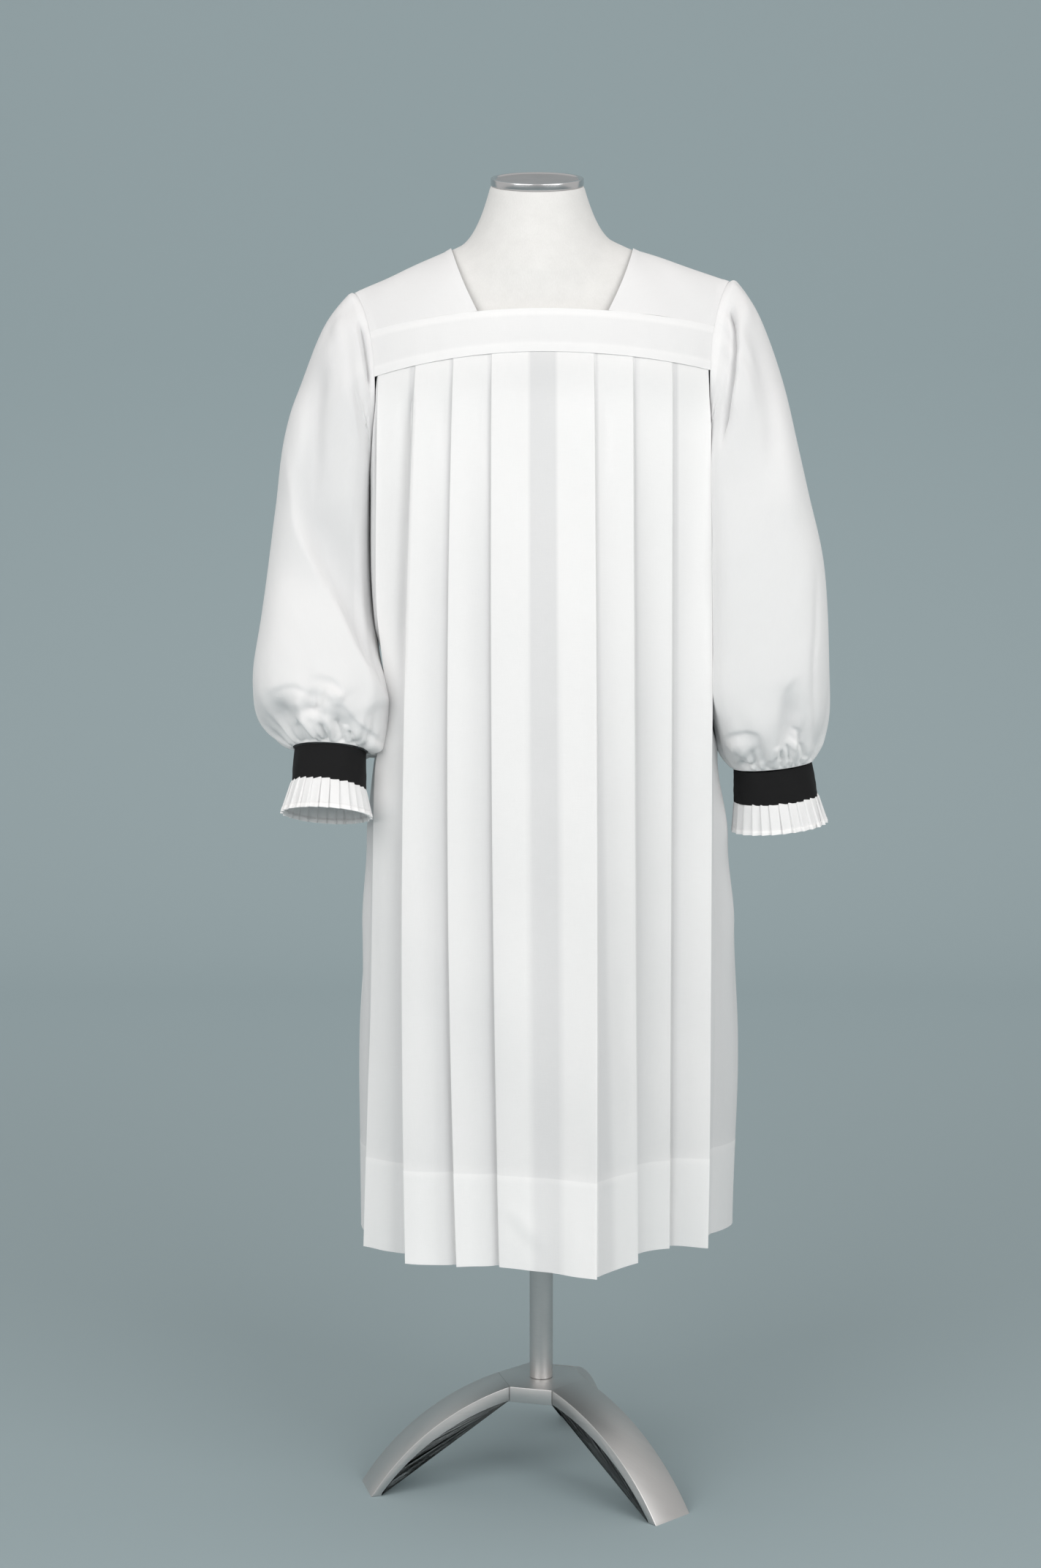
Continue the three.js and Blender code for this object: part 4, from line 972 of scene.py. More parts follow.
def sleeve(name, side):
    seed = SLEEVE_PHASE[side]
    angle = turn_angles(SLEEVE_COLUMNS)
    grid = sleeve_form(side, angle)
    from_head = lengths_down(grid)
    from_wrist = from_head[-1:] - from_head
    normal = -sign_of(side) * grid_normals(grid, True)
    x, y, z = np.moveaxis(grid, -1, 0)
    x = np.abs(x)
    turn = np.broadcast_to(angle, x.shape)
    uneven = turn + 0.16 * np.sin(3 * turn + seed) + 0.07 * np.sin(7 * turn + 2 * seed)
    front, back = (smooth(-0.1, 0.3, way * normal[..., 1]) for way in (-1, 1))
    soft = gathers(WRIST_GATHERS, uneven, side, front, from_wrist)
    on_top = smooth(-0.15, 0.5, np.cos(turn))
    soft += gathers(HEAD_GATHERS, uneven, side, front, from_head) * on_top
    drape = DRAPE * smooth(*DRAPE_HEAD, from_head) * smooth(*DRAPE_WRIST, from_wrist)
    soft += drape * np.sin(3 * turn + from_head / 190 + seed)
    at_arm = smooth(*ARM_FACING, np.abs(np.sin(turn))) * between(*ARM_TURN, np.cos(turn))
    soft += (edge_relief(ARM_RIDGE, from_head) + back * edge_relief(ARM_GROOVE, from_head)) * at_arm
    creases = 0
    for share, folds, overlaps in ((front, SLEEVE_FOLDS, SLEEVE_OVERLAPS),
                                   (back, SLEEVE_BACK_FOLDS, SLEEVE_BACK_OVERLAPS)):
        relief = folds_relief(folds[side], x, z) + overlaps_relief(overlaps[side], x, z)
        creases = creases + relief * share
    by_body = smooth(*BODY_FACING, -sign_of(side) * normal[..., 0])
    by_body = by_body * smooth(*BODY_FROM_WRIST, from_wrist)
    total = soft + creases * (1 - by_body * np.where(creases > 0, 1, 0.5))
    bent = SOFT_TOP + SOFT_RANGE * np.tanh((total - SOFT_TOP) / SOFT_RANGE)
    total = np.where(total > SOFT_TOP, bent, total)
    total = total * np.where(total > 0, 1 - 0.6 * by_body, 1)
    total = total * smooth(0, 10, from_head) * smooth(0, 4, from_wrist)
    strip = smooth(*SEAM_WHITE[1], from_head)
    # Greyer towards the top of the sleeve: partly thin cloth, partly painted shade on the upper sleeve.
    layers = mix(SHEER_AND_SHADE["low"], SHEER_AND_SHADE["high"], smooth(*SHEER_AND_SHADE["z"], z)) + SHEER_AND_SHADE[side]
    layers = layers + SEAM_WHITE[0] * strip + WRIST_WHITE[0] * smooth(*WRIST_WHITE[1], from_wrist)
    # Painted shade: the cloth is greyed in the sleeve's deep creases.
    crease_shade, depths, distances = CREASE_PAINTED_SHADE
    layers = layers - crease_shade * smooth(*depths, -creases) * smooth(*distances, from_wrist)
    return cloth_shell(name, grid + normal * total[..., None], LAYER * (1 + 0.5 * strip), layers,
                       LINEN, ring=True, flip=side == "right")


def wristband(name, side):
    angle = turn_angles(120)
    top, end = (np.array(CUFFS[side][part], float) for part in ("top", "end"))
    top[[1, 3]] -= 0.2
    uneven = wobble(3 if side == "left" else 9, 5, 1, 4)
    rows = []
    for share in np.linspace(0, 1, 13):
        out = -1.1 + 0.5 * math.sin(math.pi * share) + 0.35 * np.sin(9 * angle + 4 * share)
        rows.append(ring_points(side, mix(top, end, share), angle, out + 0.25 * float(uneven(6 * share))))
    return cloth_shell(name, np.stack(rows), BAND_THICKNESS, 0.5, WOOL, ring=True, flip=side == "right")


def cuff_frill(name, side):
    """A strip of small uneven pleats that flares from the wristband to its hem."""
    top, end = (np.array(CUFFS[side][part], float) for part in ("end", "frill"))
    top[[1, 3]] += 3
    end[[1, 3]] += 0.6
    rng = np.random.default_rng(17 if side == "left" else 29)
    widths = rng.uniform(0.86, 1.14, FRILL_PLEATS)
    edges = np.concatenate(([0], np.cumsum(widths))) / widths.sum()
    across, rise = np.array(FRILL_PROFILE).T
    angle = np.concatenate([2 * math.pi * mix(*edges[i:i + 2], across) for i in range(FRILL_PLEATS)])
    rise = np.tile(rise, FRILL_PLEATS)
    sizes = np.repeat(rng.uniform(0.75, 1.15, FRILL_PLEATS), len(across))
    shares = np.concatenate([np.linspace(0, 0.8, 12), [0.86, 0.865, 0.93, 1]])
    rows = []
    for share in shares:
        depth = mix(1.2, 5.4, share**1.25) * sizes
        out = (rise - 1) * depth - 1.6 + 1.6 * min(share * 8, 1)
        rows.append(ring_points(side, mix(top, end, share), angle, out))
    hem = np.repeat((shares > FRILL_HEM).astype(float)[:, None], len(angle), 1)
    return cloth_shell(name, np.stack(rows), 0.6 + 0.5 * hem, 0.55 + 0.3 * hem, LINEN,
                       ring=True, flip=side == "right")


# ------------------------------------------------------------------ the form and its cap

FORM_ROWS = ((TORSO[0][0], 1480, 70), (1486, NECK_TOP_Z, 44))   # from, to and how many
NECK_BEND_Z = 1558              # where the rows begin to tilt with the neck
FORM_REACH, HALVINGS = 264.0, 24   # how far out the form's surface is looked for, and how finely
RIM_ROUNDING = (0.012, 0.014)   # the shares by which its first and last rings are drawn in


def form_field(x, y, z):
    """Below 0 inside the form: its torso and its neck, blended where they meet."""
    keys, half_widths, half_depths = zip(*TORSO)
    half_width = smooth_table(keys, half_widths, z)
    half_depth = smooth_table(keys, half_depths, z)
    rise = np.maximum(z - CHEST_Z, 0) / (shoulder_line(x) - SHOULDER_CLEARANCE - CHEST_Z)
    depth = np.maximum(plan_depth(x, half_width, half_depth), 1e-3)
    torso = np.where(np.abs(x) >= half_width, 1, rise**2 + (y / depth) ** 2 - 1)
    radius = NECK_RADIUS + np.minimum(NECK_TOP_Z - z, NECK_LENGTH) * NECK_FLARE
    neck = ((x - NECK_X) ** 2 + y**2) / radius**2 - 1
    near = np.maximum(NECK_BLEND - np.abs(torso - neck), 0) / NECK_BLEND
    return np.minimum(torso, neck) - near**2 * NECK_BLEND / 4


def form_grid(columns=160):
    """Rings of points on the form, level on the torso and tilted with the neck's top."""
    heights = np.concatenate([np.linspace(*stretch) for stretch in FORM_ROWS])
    slope = np.tan(np.radians(NECK_TILT * smooth(NECK_BEND_Z, NECK_TOP_Z, heights) ** 0.9))[:, None]
    angle = turn_angles(columns)
    wide = np.where(heights < NECK_POINT[1], 2.0, 1.0)
    wide = np.convolve(np.pad(wide, 4, "edge"), np.ones(9) / 9, "valid")[:, None]
    ways = unit(np.stack([np.cos(angle) * wide, np.sin(angle) + 0 * wide], -1))
    near, far = np.zeros(ways.shape[:2]), np.full(ways.shape[:2], FORM_REACH)
    for _ in range(HALVINGS):
        middle = (near + far) / 2
        y = ways[..., 1] * middle
        inside = form_field(NECK_X + ways[..., 0] * middle, y, heights[:, None] + slope * y) < 0
        near, far = np.where(inside, middle, near), np.where(inside, far, middle)
    y = ways[..., 1] * near
    return np.stack([NECK_X + ways[..., 0] * near, y, heights[:, None] + slope * y], -1)


def form_torso(name):
    grid = form_grid()
    rows, columns = grid.shape[:2]
    ends = grid.mean(axis=1)[[0, -1]]
    grid[[0, -1]] += (ends[:, None] - grid[[0, -1]]) * np.array(RIM_ROUNDING)[:, None, None]
    faces = turned(quads(rows, columns, True)).tolist()
    bottom, top, last = rows * columns, rows * columns + 1, (rows - 1) * columns
    for column in range(columns):
        beside = (column + 1) % columns
        faces += [(bottom, beside, column), (top, last + column, last + beside)]
    mesh = new_mesh(name, np.concatenate([grid.reshape(-1, 3), ends]), faces)
    mesh.shade_smooth()
    mark_sharp(mesh, lambda ends: (ends < columns).all(1) | (ends // columns == rows - 1).all(1))
    return new_piece(mesh, JERSEY)


def lathe(name, profile, segments, place, tilt, materials, material_of):
    """A turned piece from a profile of (radius, height), with UVs along and around it."""
    profile = np.maximum(profile, (0, -np.inf))
    lengths = np.concatenate(([0], np.cumsum(np.hypot(*np.diff(profile, axis=0).T))))
    verts, rings, faces, uvs, bands = [], [], [], [], []
    for radius, height in profile:
        count = segments if radius > 1e-6 else 1
        rings.append([len(verts) + k % count for k in range(segments)])
        turns = [2 * math.pi * k / segments for k in range(count)]
        verts += [(radius * math.cos(turn), radius * math.sin(turn), height) for turn in turns]
    for i in range(len(profile) - 1):
        for k in range(segments):
            corners = {}
            for row, turn in ((i, k), (i, k + 1), (i + 1, k + 1), (i + 1, k)):
                uv = (turn / segments * TURNED_GIRTH, lengths[row] * MM)
                corners.setdefault(rings[row][turn % segments], uv)
            faces.append(list(corners))
            uvs += corners.values()
            bands.append(material_of(i))
    x, y, z = np.array(verts).T
    cos, sin = math.cos(math.radians(tilt)), math.sin(math.radians(tilt))
    mesh = new_mesh(name, np.stack([x, y * cos - z * sin, y * sin + z * cos], -1) + place, faces)
    mesh.uv_layers.new(name="UVMap").data.foreach_set("uv", np.array(uvs, np.float32).reshape(-1))
    mesh.polygons.foreach_set("material_index", bands)
    shade_metal(mesh)
    return new_piece(mesh, *materials)


def rounded(profile, radius=1.2, steps=4):
    """A profile with its inner corners rounded, as a turned edge has them."""
    profile = np.array(profile, float)
    result = [profile[0]]
    for before, corner, after in zip(profile, profile[1:], profile[2:]):
        sides = [before - corner, after - corner]
        reach = min(radius, *(np.linalg.norm(side) * 0.45 for side in sides))
        start, end = (corner + side / np.linalg.norm(side) * reach for side in sides)
        for t in np.linspace(0, 1, steps + 1):
            result.append(mix(mix(start, corner, t), mix(corner, end, t), t))
    return result + [profile[-1]]


def neck_cap(name):
    """A flat brushed disc set in a polished, slightly raised rim."""
    r, h = CAP_RADIUS, CAP_HEIGHT
    disc, sunk = r - CAP_RIM[1], h - CAP_SINK
    profile = rounded([(0, 0), (r, 0), (r, h), (r - CAP_RIM[0], h), (disc, sunk), (0, sunk)], 1.3)
    inner = next(i for i, (radius, height) in enumerate(profile) if height > h / 2 and radius <= disc)
    return lathe(name, profile, 96, (NECK_X, 0, NECK_TOP_Z + JOINT_GAP), NECK_TILT,
                 [CHROME, DISC], lambda i: int(i >= inner))


# ------------------------------------------------------------------ the stand

HUB_REACH = (HUB_LEG_FACE + 2 * HUB_FREE_FACE) / (2 * math.sqrt(3))


def spun(x, y, degrees):
    """A place turned about the stand's axis."""
    cos, sin = math.cos(math.radians(degrees)), math.sin(math.radians(degrees))
    return x * cos - y * sin, x * sin + y * cos


def inset_outline(outline, inset):
    points = np.asarray(outline, float)
    before, after = np.roll(points, 1, 0), np.roll(points, -1, 0)
    turned_in, turned_out = (np.stack([-way[:, 1], way[:, 0]], 1)
                             for way in (unit(points - before), unit(after - points)))
    mitre = unit(turned_in + turned_out)
    reach = inset / np.maximum((mitre * turned_in).sum(1), 0.5)
    area = (points[:, 0] * after[:, 1] - after[:, 0] * points[:, 1]).sum()
    return points + mitre * reach[:, None] * (1 if area > 0 else -1)


def prism(name, outline, across, edge):
    """A solid from a closed outline in (along, up), extruded across, with rounded edges."""
    half, soft = across / 2, edge * 0.3
    steps = ((-half, edge), (-half + soft, soft), (-half + edge, 0),
             (half - edge, 0), (half - soft, soft), (half, edge))
    points = [(x, side, z) for side, inset in steps for x, z in inset_outline(outline, inset)]
    count = len(outline)
    faces = turned(quads(len(steps), count, True)).tolist()
    last = (len(steps) - 1) * count
    faces += [list(range(count))[::-1], list(range(last, last + count))]
    return new_mesh(name, points, faces)


def leg_outline(steps=40):
    """A leg's side view: an arc from the hub to the floor, tapering in thickness."""
    start = np.array([HUB_REACH + JOINT_GAP, HUB_TOP])
    run = LEG["foot"] - start[0]
    bend = math.radians(LEG["foot_slope"] - LEG["root_slope"])
    radius = math.hypot(run, HUB_TOP) / (2 * math.sin(bend / 2))
    length = 2 * radius * math.sin(bend / steps / 2)
    lean = math.atan2(HUB_TOP, run) - math.radians(LEG["root_slope"] + LEG["foot_slope"]) / 2

    def slope_at(share):
        return math.radians(mix(LEG["root_slope"], LEG["foot_slope"], share)) + lean

    top = [start]
    for step in range(steps):
        slope = slope_at((step + 0.5) / steps)
        top.append(top[-1] + length * np.array([math.cos(slope), -math.sin(slope)]))
    under = []
    for step, point in enumerate(top):
        slope = slope_at(step / steps)
        thick = mix(LEG["root_thick"], LEG["foot_thick"], step / steps)
        if step == 0:
            under.append(point - np.array([0, thick]))
        elif step == steps:
            under.append(np.array([point[0] - thick / math.sin(slope), 0]))
        else:
            under.append(point - thick * np.array([math.sin(slope), math.cos(slope)]))
    top[-1][1] = 0
    return top + under[::-1]


def lay_brushing(mesh, along_leg):
    """UVs with u along the metal's brushing, from each face's own plane."""
    layer = mesh.uv_layers.new(name="UVMap")
    for polygon in mesh.polygons:
        for loop in polygon.loop_indices:
            x, y, z = mesh.vertices[mesh.loops[loop].vertex_index].co
            if abs(polygon.normal.y) > 0.7:
                uv = (x, z)
            elif along_leg:
                uv = (math.hypot(x, z), y + z)
            else:
                uv = (x, y)
            layer.data[loop].uv = uv


def stand_leg(name, azimuth):
    mesh = prism(name, leg_outline(), LEG["width"], 1.4)
    lay_brushing(mesh, True)
    shade_metal(mesh)
    for vertex in mesh.vertices:
        x, y, z = vertex.co
        vertex.co = (*spun(x, y, azimuth), max(z, 0))
    return new_piece(mesh, STEEL)


def stand_hub(name):
    corners = [spun(HUB_REACH, edge * HUB_LEG_FACE, azimuth)
               for azimuth in LEG["azimuths"] for edge in (-0.5, 0.5)]
    corners.sort(key=lambda corner: math.atan2(corner[1], corner[0]))
    mesh = prism(name, corners, HUB_HEIGHT, 1.1)
    for vertex in mesh.vertices:
        x, y, z = vertex.co
        vertex.co = (x, z, y + (HUB_TOP - HUB_HEIGHT / 2) * MM)
    mesh.flip_normals()
    lay_brushing(mesh, False)
    shade_metal(mesh, 35)
    return new_piece(mesh, STEEL)


def post(name):
    low, high = HUB_TOP + JOINT_GAP, TORSO[0][0] - JOINT_GAP
    flange = high - FLANGE_HEIGHT
    profile = rounded([(0, low), (POST_RADIUS, low), (POST_RADIUS, flange),
                       (FLANGE_RADIUS, flange), (FLANGE_RADIUS, high), (0, high)], 1)
    return lathe(name, profile, 64, (0, 0, 0), 0, [STEEL], lambda i: 0)


# ------------------------------------------------------------------ the folds
# Each fold is (height, width, fade in, fade out, path of (x, z) in mm); troughs are below 0.
# On the sleeves x is counted from the centre outwards. Most paths in SLEEVE_FOLDS and
# SLEEVE_OVERLAPS were picked by eye in the photograph, and a scratch script turned them into
# millimetres. The paths in the other tables were laid one by one.

FRONT_FOLDS = [
    (-2.4, 7, 0.05, 0.5, [(-113, 1424), (-119, 1340), (-122, 1270)]),
    (-2.4, 7, 0.05, 0.5, [(-67, 1424), (-70, 1340), (-71, 1260)]),
    (-2.2, 7, 0.05, 0.5, [(70, 1424), (76, 1340), (78, 1250)]),
    (1.8, 16, 0.3, 0.3, [(20, 1250), (26, 1000), (24, 760)]),
    (-2.2, 18, 0.3, 0.3, [(-6, 1050), (-10, 800), (-4, 520)]),
    (1.2, 10, 0.3, 0.3, [(-44, 404), (-22, 378), (8, 352)]),
    (-0.8, 8, 0.3, 0.3, [(-50, 392), (-26, 364), (-2, 340)]),
    (2.0, 6, 0.3, 0.4, [(70, 444), (78, 434), (86, 440)]),
    (-2.0, 12, 0.2, 0.3, [(96, 700), (104, 560), (108, 440)]),
    (1.8, 12, 0.3, 0.3, [(128, 900), (132, 720), (130, 560)]),
    (-2.2, 12, 0.3, 0.3, [(-132, 860), (-138, 700), (-140, 540)]),
    (2.0, 14, 0.3, 0.3, [(-196, 880), (-198, 700), (-204, 520)]),
    (1.6, 14, 0.3, 0.3, [(186, 1200), (188, 1000), (190, 820)]),
]
# Faces that dip beside a pleat: (depth, reach, fades, path of the pleat's edge).
FRONT_DIPS = [
    (10, 11, 0.12, 0.3,
     [(-153.5, 1424), (-158.2, 1316), (-162.4, 1206), (-165.8, 1096), (-168.4, 986)]),
]
BACK_FOLDS = [
    (-3.0, 9, 0.05, 0.5, [(-134, 1424), (-142, 1330), (-150, 1230)]),
    (-2.6, 8, 0.05, 0.5, [(74, 1430), (80, 1340), (82, 1240)]),
    (2.2, 18, 0.3, 0.3, [(-24, 1220), (-20, 980), (-26, 760)]),
    (-2.4, 18, 0.3, 0.3, [(14, 1080), (8, 820), (16, 540)]),
    (-2.2, 13, 0.3, 0.3, [(-100, 900), (-106, 700), (-104, 520)]),
    (2.0, 14, 0.3, 0.3, [(104, 980), (110, 800), (108, 600)]),
    (1.8, 14, 0.3, 0.3, [(-168, 900), (-172, 700), (-176, 520)]),
    (-2.2, 13, 0.3, 0.3, [(166, 860), (172, 700), (170, 520)]),
]
SIDE_FOLDS = [
    (4, 20, 0.3, 0.3, [(-30, 1150), (-34, 900), (-40, 560)]),
    (-4, 18, 0.3, 0.3, [(-2, 1100), (-4, 860), (-6, 500)]),
    (4, 20, 0.3, 0.3, [(34, 1150), (40, 900), (52, 560)]),
    (-3, 16, 0.3, 0.3, [(70, 900), (84, 700), (92, 500)]),
    (-3, 16, 0.3, 0.3, [(-62, 900), (-70, 700), (-78, 520)]),
]

SLEEVE_FOLDS = {
    "left": [
        (-7, 3, 0.2, 0.3, [(225, 1470), (219, 1441), (213, 1405), (208, 1376)]),
        (-9, 14, 0.3, 0.4, [(268, 1440), (277, 1370), (278, 1300), (282, 1223)]),
        (-13, 17, 0.5, 0.5, [(328, 1026), (319, 990), (302, 952)]),
        (-10, 12, 0.45, 0.4, [(257, 1004), (246, 980), (240, 950)]),
        (-5, 9, 0.25, 0.3, [(277, 1024), (274, 1006), (281, 988)]),
        (2.5, 14, 0.3, 0.3, [(299, 1400), (308, 1312), (310, 1243)]),
        (4, 15, 0.3, 0.3, [(243, 1449), (237, 1356), (236, 1287), (232, 1180)]),
        (2.2, 6, 0.3, 0.3, [(298, 997), (292, 1011), (280, 1016)]),
        (-4.5, 5, 0.25, 0.3,
         [(266, 1035), (266, 1022), (268, 1012), (272, 1002), (284, 998), (293, 996)]),
        (3, 5, 0.3, 0.3, [(252, 1031), (259, 1021), (262, 1011), (264, 999), (265, 992)]),
        (4.5, 6, 0.3, 0.3, [(261, 1012), (249, 1015), (239, 1009)]),
        (3.5, 5, 0.3, 0.15, [(303, 988), (291, 985), (282, 976), (274, 963)]),
        (-4, 3.5, 0.3, 0.05, [(269, 984), (267, 973), (262, 957)]),
        (3, 5, 0.3, 0.05, [(264, 994), (259, 981), (253, 973), (250, 957)]),
        (-4, 3.5, 0.3, 0.05, [(250, 987), (247, 973), (242, 956)]),
        (3, 4, 0.3, 0.1, [(238, 978), (237, 967), (239, 956)]),
        (-4.5, 3.5, 0.3, 0.05, [(233, 970), (231, 962), (230, 952)]),
        (4, 9, 0.3, 0.3, [(218, 960), (206, 951), (198, 956)]),
        (-3, 4.5, 0.3, 0.05, [(299, 980), (292, 967), (286, 956)]),
    ],
    "right": [
        (-10, 3.3, 0.12, 0.3,
         [(229, 1493), (235, 1461), (235, 1431), (231, 1392), (223, 1347), (215, 1303)]),
        (3, 12, 0.3, 0.3, [(250, 1470), (249, 1400), (240, 1330), (228, 1262)]),
        (-6, 15, 0.25, 0.4, [(256, 1476), (264, 1426), (274, 1377), (278, 1327), (272, 1240)]),
        (-11, 17, 0.5, 0.4, [(300, 1034), (306, 990), (304, 936)]),
        (2.5, 18, 0.3, 0.3, [(290, 1400), (300, 1300), (304, 1200)]),
        (6, 10, 0.3, 0.3, [(229, 944), (243, 949), (258, 938)]),
        (-5, 3, 0.3, 0.3, [(243, 927), (254, 924), (266, 925)]),
        (-1.8, 4, 0.3, 0.05,
         [(335, 1186), (334, 1101), (331, 1056), (332, 1023), (335, 988), (337, 940)]),
        (-3.5, 3.5, 0.3, 0.3, [(305, 968), (315, 966), (319, 955), (318, 940)]),
        (3, 6, 0.3, 0.3, [(306, 944), (312, 956)]),
        (-4, 3, 0.3, 0.05, [(293, 944), (295, 929)]),
        (3, 3, 0.3, 0.1, [(288, 950), (290, 936)]),
        (-4, 3, 0.3, 0.05, [(302, 952), (306, 930)]),
        (-3.5, 3, 0.3, 0.05, [(320, 952), (325, 934)]),
    ],
}
SLEEVE_BACK_FOLDS = {
    "left": [
        (-4.5, 16, 0.3, 0.4, [(262, 1430), (270, 1370), (266, 1300)]),
        (3, 15, 0.3, 0.3, [(294, 1400), (302, 1312), (300, 1233)]),
        (-4.5, 4, 0.3, 0.05, [(300, 1000), (299, 975), (296, 950)]),
        (3, 5, 0.3, 0.1, [(286, 1000), (284, 975), (283, 950)]),
        (-4.5, 4, 0.3, 0.05, [(268, 994), (266, 968), (266, 948)]),
        (3, 5, 0.3, 0.1, [(256, 990), (256, 965), (257, 948)]),
        (-4.5, 4, 0.3, 0.05, [(240, 990), (242, 968), (245, 946)]),
        (-4, 4, 0.3, 0.05, [(222, 980), (226, 962), (230, 946)]),
    ],
    "right": [
        (-4.5, 15, 0.3, 0.4, [(262, 1450), (272, 1380), (272, 1310)]),
        (3, 16, 0.3, 0.3, [(296, 1400), (306, 1300), (310, 1210)]),
        (-4.5, 4, 0.3, 0.05, [(262, 972), (266, 948), (268, 924)]),
        (3, 5, 0.3, 0.1, [(278, 972), (279, 948), (280, 928)]),
        (-4.5, 4, 0.3, 0.05, [(292, 974), (292, 950), (293, 928)]),
        (-4.5, 4, 0.3, 0.05, [(318, 974), (318, 950), (320, 932)]),
        (3, 5, 0.3, 0.1, [(305, 974), (306, 950), (306, 930)]),
        (-4, 4, 0.3, 0.05, [(242, 960), (248, 942), (252, 922)]),
    ],
}
# Folds that lap over: (rise, its reach, sink, its reach, length of the fall, fades, path).
SLEEVE_OVERLAPS = {
    "left": [
        (4, 12, 4, 4, 1.2, 0.15, 0.3, [(226, 1477), (220, 1444), (214, 1405), (208, 1366)]),
        (5, 46, 25, 45, 13, 0.55, 0.04,
         [(318, 1360), (312, 1310), (306, 1262), (300, 1223), (281, 1179), (249, 1120), (222, 1065),
          (203, 1036), (187, 998)]),
        (2, 14, 2.5, 8, 2, 0.2, 0.3, [(279, 1016), (288, 1022), (300, 1027), (320, 1024), (336, 1012)]),
        (3, 12, 3, 7, 2, 0.2, 0.25, [(238, 1012), (242, 1022), (252, 1032), (266, 1037), (278, 1031)]),
        (2.5, 12, 2.5, 9, 3, 0.15, 0.2,
         [(197, 960), (209, 971), (223, 983), (231, 993), (241, 1003), (252, 1004), (261, 1002)]),
        (4, 9, 4, 8, 2, 0.1, 0.25, [(268, 958), (282, 974), (290, 981), (299, 988)]),
    ],
    "right": [
        (4, 12, 4, 4, 1.2, 0.12, 0.35,
         [(229, 1493), (235, 1461), (235, 1431), (231, 1392), (223, 1347), (215, 1303)]),
        (2, 14, 3.5, 11, 3, 0.25, 0.05,
         [(220, 953), (230, 964), (241, 968), (260, 967), (268, 960), (273, 946), (279, 928)]),
        (1.5, 20, 2.5, 12, 2.5, 0.2, 0.3,
         [(287, 934), (290, 969), (293, 991), (297, 1017), (310, 1034), (324, 1034)]),
    ],
}
SLEEVE_BACK_OVERLAPS = {
    "left": [
        (4, 44, 10, 60, 20, 0.35, 0.1,
         [(304, 1260), (282, 1185), (258, 1130), (226, 1080), (208, 1040)]),
        (3, 16, 5, 16, 2.5, 0.2, 0.25, [(262, 1012), (276, 1030), (298, 1036), (318, 1026)]),
        (3, 12, 5, 12, 2.2, 0.2, 0.2, [(222, 996), (236, 1016), (252, 1018), (262, 1008)]),
    ],
    "right": [
        (3, 44, 9, 60, 20, 0.35, 0.15, [(324, 1260), (300, 1180), (270, 1110), (238, 1050)]),
        (3, 16, 5, 16, 2.5, 0.2, 0.25, [(262, 980), (276, 998), (298, 1004), (320, 994)]),
        (3, 12, 5, 12, 2.2, 0.2, 0.2, [(226, 958), (238, 976), (256, 978), (268, 966)]),
    ],
}

# ------------------------------------------------------------------ the pieces

LINEN = woven_material("rochet_linen", single=(0.74, 0.74, 0.745), many=(0.955, 0.95, 0.945),
                       roughness=0.9, sheen=0.12, thread=0.0007, relief=0.00004, slub=1.2, through=0.3)
WOOL = woven_material("band_wool", single=(0.006, 0.006, 0.0065), many=(0.008, 0.008, 0.0085),
                      roughness=0.85, sheen=0.03, thread=0.0009, relief=0.00008, slub=1.5, through=0)
JERSEY = knitted_material()
STEEL = brushed_material("stand_steel", (0.70, 0.692, 0.685), 0.36, (14, 1800, 1), 0.00002)
CHROME = brushed_material("cap_chrome", (0.78, 0.78, 0.79), 0.14, (3, 900, 1), 0.000008)
DISC = brushed_material("cap_disc", (0.55, 0.55, 0.56), 0.42, (6, 1400, 1), 0.00002)

put_on(yoke_band("rochet_yoke_front", YOKE_FRONT_TOP, YOKE_FRONT_BOTTOM, -1), "yoke_front")
put_on(yoke_band("rochet_yoke_back", YOKE_BACK_TOP, YOKE_BACK_BOTTOM, 1), "yoke_back")
put_on(pleated_panel("rochet_front", FRONT_PLEATS, -1, FRONT_FOLDS, FRONT_DIPS, (41, 42, 43, 44)),
       "front_panel")
put_on(pleated_panel("rochet_back", BACK_PLEATS, 1, BACK_FOLDS, [], (51, 52, 53, 54)),
       "back_panel")
for side in ("left", "right"):
    put_on(shoulder_piece(f"rochet_shoulder_{side}", side), f"shoulder_{side}")
    put_on(sleeve(f"rochet_sleeve_{side}", side), f"sleeve_{side}")
    put_on(wristband(f"rochet_band_{side}", side), f"wristband_{side}")
    put_on(cuff_frill(f"rochet_frill_{side}", side), f"cuff_frill_{side}")

put_on(form_torso("form_cover"), "form_torso")
put_on(neck_cap("form_cap"), "neck_cap")
put_on(post("form_post"), "post")
put_on(stand_hub("form_hub"), "stand_hub")
for number, azimuth in enumerate(LEG["azimuths"], 1):
    put_on(stand_leg(f"form_leg_{number}", azimuth), f"stand_leg_{number}")

# ------------------------------------------------------------------ the studio

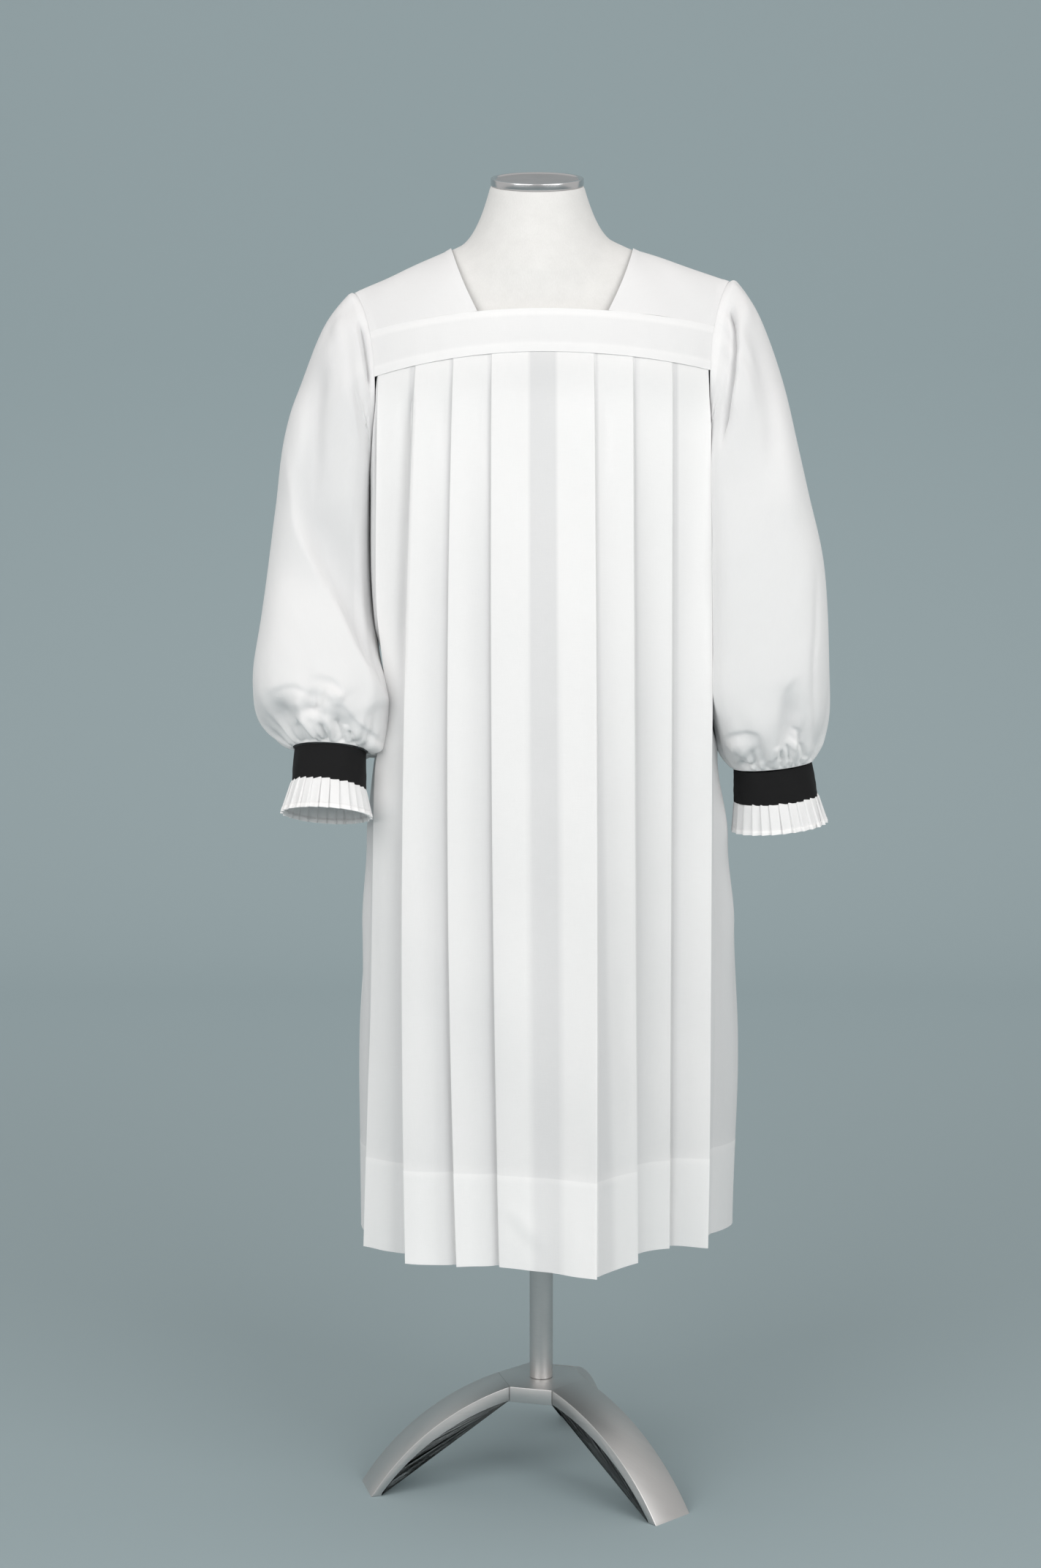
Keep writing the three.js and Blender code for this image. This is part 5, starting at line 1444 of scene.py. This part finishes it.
def area_light(name, place):
    lamp = bpy.data.lights.new(name, "AREA")
    lamp.shape = "RECTANGLE"
    lamp.size, lamp.size_y = 2.2, 2.0
    lamp.energy = 39.2
    lamp.color = (1, 0.99, 0.98)
    holder = bpy.data.objects.new(name, lamp)
    holder.location = place
    holder.rotation_euler = (LIGHT_TARGET - Vector(place)).to_track_quat("-Z", "Y").to_euler()
    bpy.context.collection.objects.link(holder)


def backdrop():
    """A plain floor that curves up into a plain wall behind, paler towards the back."""
    width, near, wall, curve, top = 8.0, -5.5, 5.4, 1.8, 6.0
    turns = [math.pi / 2 * k / 16 for k in range(17)]
    arc = [(wall - curve + curve * math.sin(turn), curve - curve * math.cos(turn)) for turn in turns]
    line = [(near, 0.0), *arc, (wall, top)]
    points = [(x / MM, y / MM, z / MM) for y, z in line for x in (-width, width)]
    mesh = new_mesh("studio_sweep", points, turned(quads(len(line), 2, False)).tolist())
    mesh.shade_smooth()
    paper = Surface("studio_paper")
    depth = paper.node("SeparateXYZ", "Y", {"Vector": paper.node("TexCoord", "Object")})
    away = paper.node("MapRange", "Result", {"Value": depth, "From Min": -1.0, "From Max": 4.0},
                      interpolation_type="SMOOTHSTEP")
    colour = paper.blend((0.32, 0.395, 0.416, 1), (0.495, 0.60, 0.63, 1), away)
    return new_piece(mesh, paper.finish({"Base Color": colour, "Roughness": 0.95}))


LIGHT_TARGET = Vector((0, 0, 1.6))
backdrop()
area_light("key", (-1.6, -2.2, 2.2))
area_light("fill", (1.6, -2.2, 2.2))

scene = bpy.context.scene
scene.world = bpy.data.worlds.new("studio")
scene.world.use_nodes = True
sky = scene.world.node_tree.nodes["Background"]
sky.inputs["Color"].default_value = (1, 0.985, 0.97, 1)
sky.inputs["Strength"].default_value = 0.55

scene.view_settings.view_transform = "Standard"
lens = bpy.data.cameras.new("camera")
lens.lens, lens.sensor_width = 60.3, 36
camera = bpy.data.objects.new("camera", lens)
camera.location = (-0.0267, -3.3, 1.205)
camera.rotation_euler = (math.radians(90 - 5.37), 0, 0)
bpy.context.collection.objects.link(camera)
scene.camera = camera
